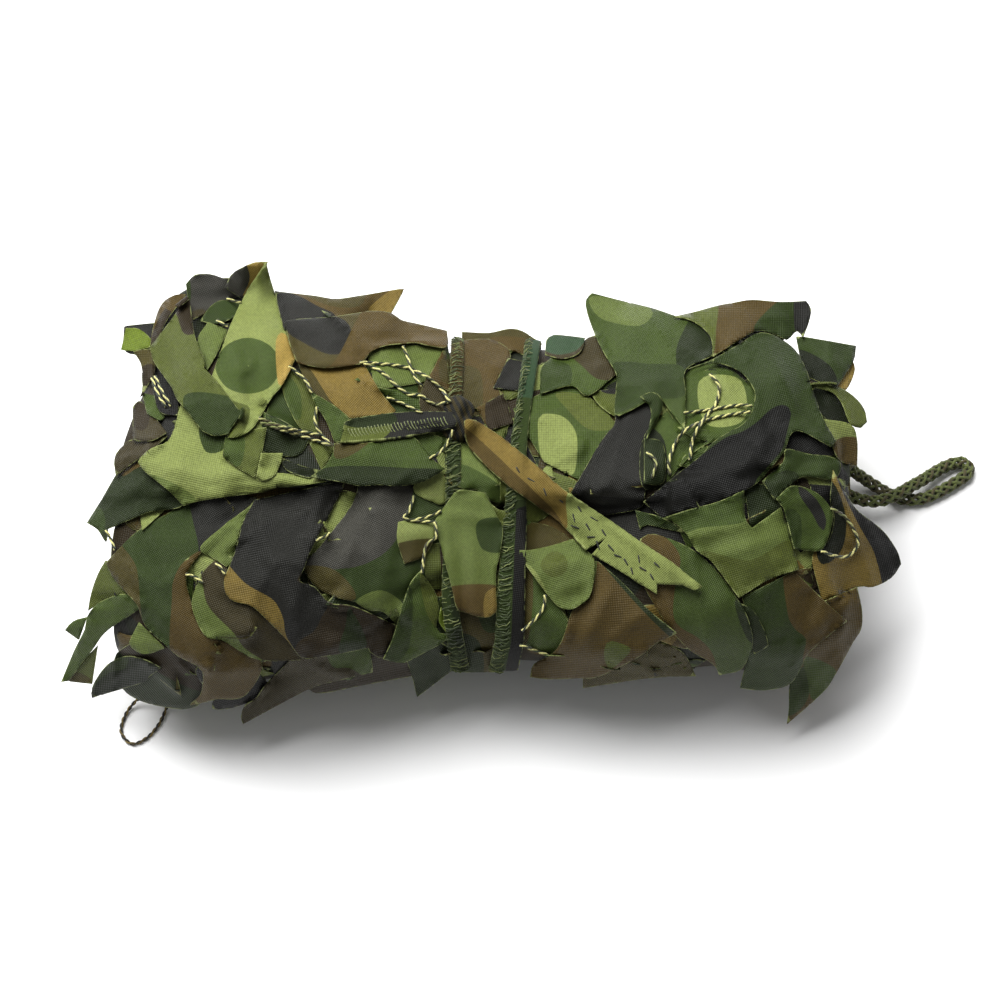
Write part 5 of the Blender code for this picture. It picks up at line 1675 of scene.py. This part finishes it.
def strapSpots(rules):
    rings = []
    for step in range(strapRules["steps"]):
        turn = step / strapRules["steps"]
        angle = roll["start"] - 2 * math.pi * turn
        spot = rollPoint(rules["place"], turn, -strapRules["proud"], False)
        seen = Vector((0, math.cos(angle), math.sin(angle))).dot(front.toward)
        down, depth = front.flat(spot)[1:]
        middle, width = ringRow(rules["run"], down)
        if seen < 0:
            middle, width = rules["run"][-1 if math.cos(angle) < 0 else 0][1:]
        row = []
        for number in range(strapRules["across"] + 1):
            share = number / strapRules["across"] - 0.5
            crown = strapRules["crown"] * (1 - (2 * share) ** 2)
            edge = width * picture["pixel"] * share
            across = (middle - picture["middle"]) * picture["pixel"]
            x = across * (1 - depth / front.distance) + front.aim.x + edge
            place = rollPoint(x - cadShift.x, turn, -strapRules["proud"] - crown, False)
            place.x = x
            place.z = max(place.z, strapRules["floor"])
            if seen > strapRules["seenFrom"]:
                fx, fy, fdepth = front.flat(place)
                need = frontPile.at(fx, fy) + strapRules["gap"] + crown
                if need > fdepth:
                    place = front.place(fx, fy, need)
            row.append(place)
        rings.append(row)
    for _ in range(strapRules["smoothing"]):
        smooth = []
        for number, row in enumerate(rings):
            before, after = rings[number - 1], rings[(number + 1) % len(rings)]
            smooth.append([(a + b * 2 + c) / 4 for a, b, c in zip(before, row, after)])
        rings = smooth
    return rings


def buildStrap(rules):
    piece = ClothPiece(rules["name"])
    rings = strapSpots(rules)
    grid = [[piece.bm.verts.new(spot) for spot in row] for row in rings]
    flatPoints, edges, fields = [], [], [[], [], []]
    around = 0.0
    for number, row in enumerate(rings):
        around += (row[0] - rings[number - 1][0]).length * 1000
        for place, spot in enumerate(row):
            share = place / strapRules["across"]
            flatPoints.append((place * strapRules["weaveStep"], around))
            edges.append(min(share, 1 - share) * strapRules["frayWidth"])
            top = spot.y > strapRules["topFrom"][0] and spot.z > strapRules["topFrom"][1]
            fields[0].append(2 if top and spot.y > strapRules["printFrom"] else -2)
            fields[1].append((share - 0.55) * 8 if not top else -4)
            fields[2].append(noPrint)
    for upper, lower in zip(grid, grid[1:] + grid[:1]):
        for place in range(strapRules["across"]):
            face = piece.bm.faces.new((upper[place], upper[place + 1], lower[place + 1], lower[place]))
            face.smooth = True
            piece.area += face.calc_area()
    made = [vert for row in grid for vert in row]
    piece.dress(made, np.array(flatPoints), (*rules["inks"], "coal"), fields, edges, 0.001)
    return piece, rings


def buildStitches(rules, rings, draw):
    bm = bmesh.new()
    count = len(rings)
    for number in range(count):
        row, after = rings[number], rings[(number + 1) % count]
        spine = row[strapRules["across"] // 2]
        outward = (spine - Vector((spine.x, 0.0, picture["aim"][2]))).normalized()
        seam = rules["seam"]
        length = (after[0] - row[0]).length
        loops = max(1, round(length / strapRules["stitchEvery"]))
        for loop in range(loops):
            t = loop / loops
            left = row[0].lerp(after[0], t)
            lean = draw.uniform(*strapRules["stitchLean"])
            right = row[seam].lerp(after[seam], t) + (after[seam] - row[seam]) * lean
            path = []
            for piece in range(5):
                share = piece / 4
                height = strapRules["stitchLift"] + strapRules["stitchHump"] * math.sin(math.pi * share)
                stray = [draw.uniform(-1, 1) * strapRules["stitchStray"] for _ in range(3)]
                path.append(left.lerp(right, share) + outward * height + Vector(stray))
            radius = strapRules["stitchRadius"] * draw.uniform(0.7, 1.3)
            paintedTube(bm, path, radius, 4, draw.choice((0, 0, 1)), False)
    return bm


strapPieces = []
for rules in straps:
    piece, rings = buildStrap(rules)
    addTrees(frontPile, [piece.tree()], strapRules["thickness"] / 2)
    strapPieces.append((rules, piece, rings))
layLeaves(leavesOverStrap)
print("straps laid")


# The knot and the tie's two tails, with their stitches
tails = (
    # name, CAD node, ink, outline, prints and rules
    ("tailLeft", "tie_tail_left", "moss",
     "340,443! 343,431 344,423! 351,419 372,416 394,413 422,412 452,412! 456,426 429,433 391,439 366,441",
     (("coal", "384,400 470,400 470,440 384,444 392,430"), ("deep", "336,415 384,410 396,424 352,428")),
     {"raised": 0.004, "crease": ((350, 430, 450, 420, 2.2, 5),), "grid": 3.4}),
    ("tailRight", "tie_tail_right", "sage",
     "464,421! 475,421 503,439 540,469 560,487 600,514 636,539 671,562 702,587! 695,590 684,585! 657,584! "
     "657,594! 631,578 592,554! 605,539! 586,550! 560,523 530,501 502,481 469,447",
     (("tan", "455,410 560,470 566,500 556,530 440,450"),
      ("brown", "455,425 470,432 520,478 556,512 556,530 460,460")),
     {"raised": 0.005, "crease": ((478, 430, 690, 584, 2.6, 5), (500, 462, 600, 536, 1.6, 5)), "grid": 3.4}),
)
flecks = (
    # picture x, y, length and turn in degrees of the short dark stitches on the right tail
    (579, 508, 9, 60), (574, 518, 9, 75), (575, 527, 9, 20), (588, 527, 8, 60), (594, 519, 8, 30),
    (591, 537, 8, 0), (598, 545, 9, 70), (611, 548, 9, 50), (604, 533, 8, 60), (618, 556, 8, 20),
    (626, 562, 8, 60), (639, 559, 8, 80), (643, 569, 8, 30), (657, 565, 8, 40), (632, 571, 7, 75),
    (560, 500, 8, 40), (545, 492, 8, 70), (531, 480, 8, 30), (518, 470, 7, 60), (652, 577, 7, 60),
)
tailHatch = {
    "count": 30,
    "start": (350, 434),
    "spacing": 3.3,
    "rise": 0.42,
    "radius": 0.0002,
}
knot = {
    "place": (458, 419),
    "size": (0.0072, 0.0100, 0.0060),
    "above": 0.0032,
    "folds": 5,
    "foldDepth": 0.16,
    "foldSkew": 3.2,
    "pinch": 0.30,
    "pinchWidth": 0.35,
    "wrinkle": 0.0005,
    "bandsPerMetre": (2200, 900),
    "thickness": 0.0002,
}


def withNeighbours(values):
    return zip([values[0], *values[:-1]], values, [*values[1:], values[-1]])


def laidOver(spots, above):
    # A route along picture points, resting on whatever is under it
    flat = [Vector((x, y, 0)) for x, y in spots]
    route = evenRoute(flat, threads["step"])[0]
    heights = [frontPile.at(spot.x, spot.y) for spot in route]
    for _ in range(threads["smoothing"]):
        highest = [max(three) for three in withNeighbours(heights)]
        heights = [(before + 2 * here + after) / 4 for before, here, after in withNeighbours(highest)]
    return [front.place(spot.x, spot.y, height + above) for spot, height in zip(route, heights)]


def buildKnot():
    bm = bmesh.new()
    bmesh.ops.create_uvsphere(bm, u_segments=36, v_segments=22, radius=1.0)
    x, y = knot["place"]
    centre = front.place(x, y, frontPile.at(x, y) + knot["above"])
    for vert in bm.verts:
        spot = vert.co.copy()
        turn = math.atan2(spot.z, spot.x)
        wave = math.sin(knot["folds"] * turn + knot["foldSkew"] * spot.y)
        fold = 1 + knot["foldDepth"] * wave * (1 - spot.y**2)
        pinch = 1 - knot["pinch"] * math.exp(-((spot.y / knot["pinchWidth"]) ** 2))
        size = Vector([along * half for along, half in zip(spot, knot["size"])])
        vert.co = centre + size * fold * pinch + Vector((0, 0, knot["wrinkle"] * noise.noise(spot * 3)))
    piece = ClothPiece("tieKnot")
    copies = {vert: piece.bm.verts.new(vert.co) for vert in bm.verts}
    for face in bm.faces:
        piece.bm.faces.new([copies[vert] for vert in face.verts]).smooth = True
    made = list(copies.values())
    flat = np.array([(vert.co.x * 1000, vert.co.y * 1000) for vert in made])
    across, along = knot["bandsPerMetre"]
    bands = [4 * math.sin(across * vert.co.x + along * vert.co.y) for vert in made]
    fields = [bands, [noPrint] * len(made), [noPrint] * len(made)]
    piece.dress(made, flat, ("coal", "taupe", "coal", "coal"), fields, [2.0] * len(made), 0.001)
    bm.free()
    return piece


knotPiece = buildKnot()
addTrees(frontPile, [knotPiece.tree()])
tailPieces = []
for name, node, ink, outline, prints, rules in tails:
    piece = ClothPiece(name)
    piece.leaf(frontPile, outline, ink, prints, seed=7, **rules)
    tailPieces.append((name, node, piece))
print("tails laid")


# Threads: the net's twine over the leaves, and the stitches of the tie
twines = (
    # radius in mm, points in picture x and y
    (0.74, ((360, 362), (394, 365), (411, 369), (429, 378), (442, 390), (450, 402))),
    (0.74, ((364, 363), (382, 372), (397, 386), (410, 395), (420, 395), (434, 404), (448, 402))),
    (0.66, ((403, 346), (408, 358), (411, 369), (417, 380), (422, 386))),
    (0.66, ((387, 397), (404, 404), (422, 413))),
    (0.66, ((289, 366), (298, 373), (306, 381), (312, 393))),
    (0.66, ((317, 407), (315, 421), (321, 434), (333, 446))),
    (0.74, ((259, 418), (280, 426), (299, 431), (320, 435))),
    (0.74, ((261, 422), (282, 430), (302, 436), (318, 441), (333, 446))),
    (0.66, ((152, 378), (158, 394), (166, 407))),
    (0.66, ((155, 376), (163, 393), (171, 406))),
    (0.66, ((227, 298), (234, 301), (241, 302))),
    (0.66, ((217, 320), (223, 324), (228, 326))),
    (0.66, ((106, 530), (111, 540), (115, 550))),
    (0.74, ((710, 374), (719, 386), (716, 404), (707, 415), (697, 430), (692, 443), (690, 460))),
    (0.74, ((752, 406), (740, 405), (719, 408), (700, 411), (684, 413))),
    (0.74, ((750, 412), (740, 413), (710, 419), (687, 429), (675, 444), (669, 462), (670, 475))),
    (0.66, ((647, 452), (656, 462), (652, 478))),
    (0.74, ((831, 508), (845, 517), (855, 532), (858, 545), (848, 556), (835, 556), (821, 551))),
    (0.66, ((414, 496), (409, 511), (404, 518), (418, 521), (435, 522))),
    (0.66, ((435, 522), (436, 537), (426, 546), (422, 573))),
    (0.66, ((414, 520), (430, 516), (441, 511))),
    (0.66, ((545, 595), (544, 606), (538, 616), (530, 624), (522, 631))),
    (0.66, ((520, 645), (534, 650), (548, 655))),
    (0.66, ((316, 540), (324, 537), (330, 533))),
    (0.66, ((186, 574), (195, 577), (203, 583))),
    (0.66, ((216, 563), (221, 568), (225, 574))),
    (0.66, ((453, 430), (448, 442), (439, 453), (429, 458))),
)
threads = {
    "step": 2.0,
    "smoothing": 3,
    "above": 0.0002,
    "twist": 1.15,
    "strandOut": 0.00045,
    "strandRadius": 0.00062,
    "stitchAbove": 0.0001,
    "fleckRadius": 0.00032,
}


def buildTwines():
    bm = bmesh.new()
    for radius, spots in twines:
        route = laidOver(spots, threads["above"] + radius / 1000)
        for strand in (0, 1):
            path = []
            for number, spot in enumerate(route):
                way = (route[min(number + 1, len(route) - 1)] - route[max(number - 1, 0)]).normalized()
                side = way.cross(front.toward).normalized()
                angle = number * threads["twist"] + math.pi * strand
                out = side * math.cos(angle) + front.toward * math.sin(angle)
                path.append(spot + out * radius * threads["strandOut"])
            paintedTube(bm, path, radius * threads["strandRadius"], 6, strand)
    return bm


def buildFlecks():
    bm = bmesh.new()
    draw = random.Random("flecks")
    for x, y, length, turn in flecks:
        way = math.radians(turn)
        half = length / 2
        start = (x - half * math.cos(way), y - half * math.sin(way))
        end = (x + half * math.cos(way), y + half * math.sin(way))
        radius = threads["fleckRadius"]
        path = laidOver((start, (x, y), end), threads["stitchAbove"] + radius)
        paintedTube(bm, path, radius, 5, 0)
    for number in range(tailHatch["count"]):
        x = tailHatch["start"][0] + number * tailHatch["spacing"]
        y = tailHatch["start"][1] - number * tailHatch["rise"] + draw.uniform(-1, 1)
        radius = tailHatch["radius"]
        path = laidOver(((x - 2, y - 5), (x, y), (x + 3, y + 4)), threads["stitchAbove"] + radius)
        paintedTube(bm, path, radius, 4, 1)
    return bm


def buildOverlock():
    bm = bmesh.new()
    draw = random.Random("overlock")
    for rules, _, rings in strapPieces:
        part = buildStitches(rules, rings, draw)
        mesh = bpy.data.meshes.new("part")
        part.to_mesh(mesh)
        part.free()
        bm.from_mesh(mesh)
        bpy.data.meshes.remove(mesh)
    return bm


threadPaints = {
    # inks and speck size in metres
    "netTwinePale": ("cream", "sage", 0.0007),
    "netTwineDark": ("deep", "olive", 0.0007),
    "darkThread": ("pine", "umber", 0.0005),
    "greenThread": ("leaf", "deep", 0.0005),
    "paleThread": ("sage", "moss", 0.0005),
}
paints = {name: ropePaint(name, *row) for name, row in threadPaints.items()}
threadPieces = (
    ("netTwines", buildTwines, ("netTwinePale", "netTwineDark")),
    ("tailStitches", buildFlecks, ("darkThread", "paleThread")),
    ("strapOverlock", buildOverlock, ("greenThread", "paleThread")),
)
for name, build, names in threadPieces:
    item = newObject(name, fromBmesh(build(), name), *[paints[paint] for paint in names])
    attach(item, "root")
print("threads laid")


def declare(item):
    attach(item, "root")


rollItem = wound.finish(clothPaint, cloth["woundThickness"])
declare(rollItem)
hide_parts("rolled_net")
for piece in [*sidePieces, *pieces.values()]:
    item = piece.finish(clothPaint)
    declare(item)
    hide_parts("rolled_net")
    print(piece.name, f"{piece.area:.4f} square metres")
for rules, piece, _ in strapPieces:
    item = piece.finish(tiePaint, strapRules["thickness"])
    declare(item)
    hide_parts(rules["node"])
for name, node, piece in tailPieces:
    item = piece.finish(tiePaint, strapRules["thickness"])
    declare(item)
    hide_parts(node)
knotItem = knotPiece.finish(tiePaint, knot["thickness"])
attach(knotItem, "root")
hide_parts("tie_knot")
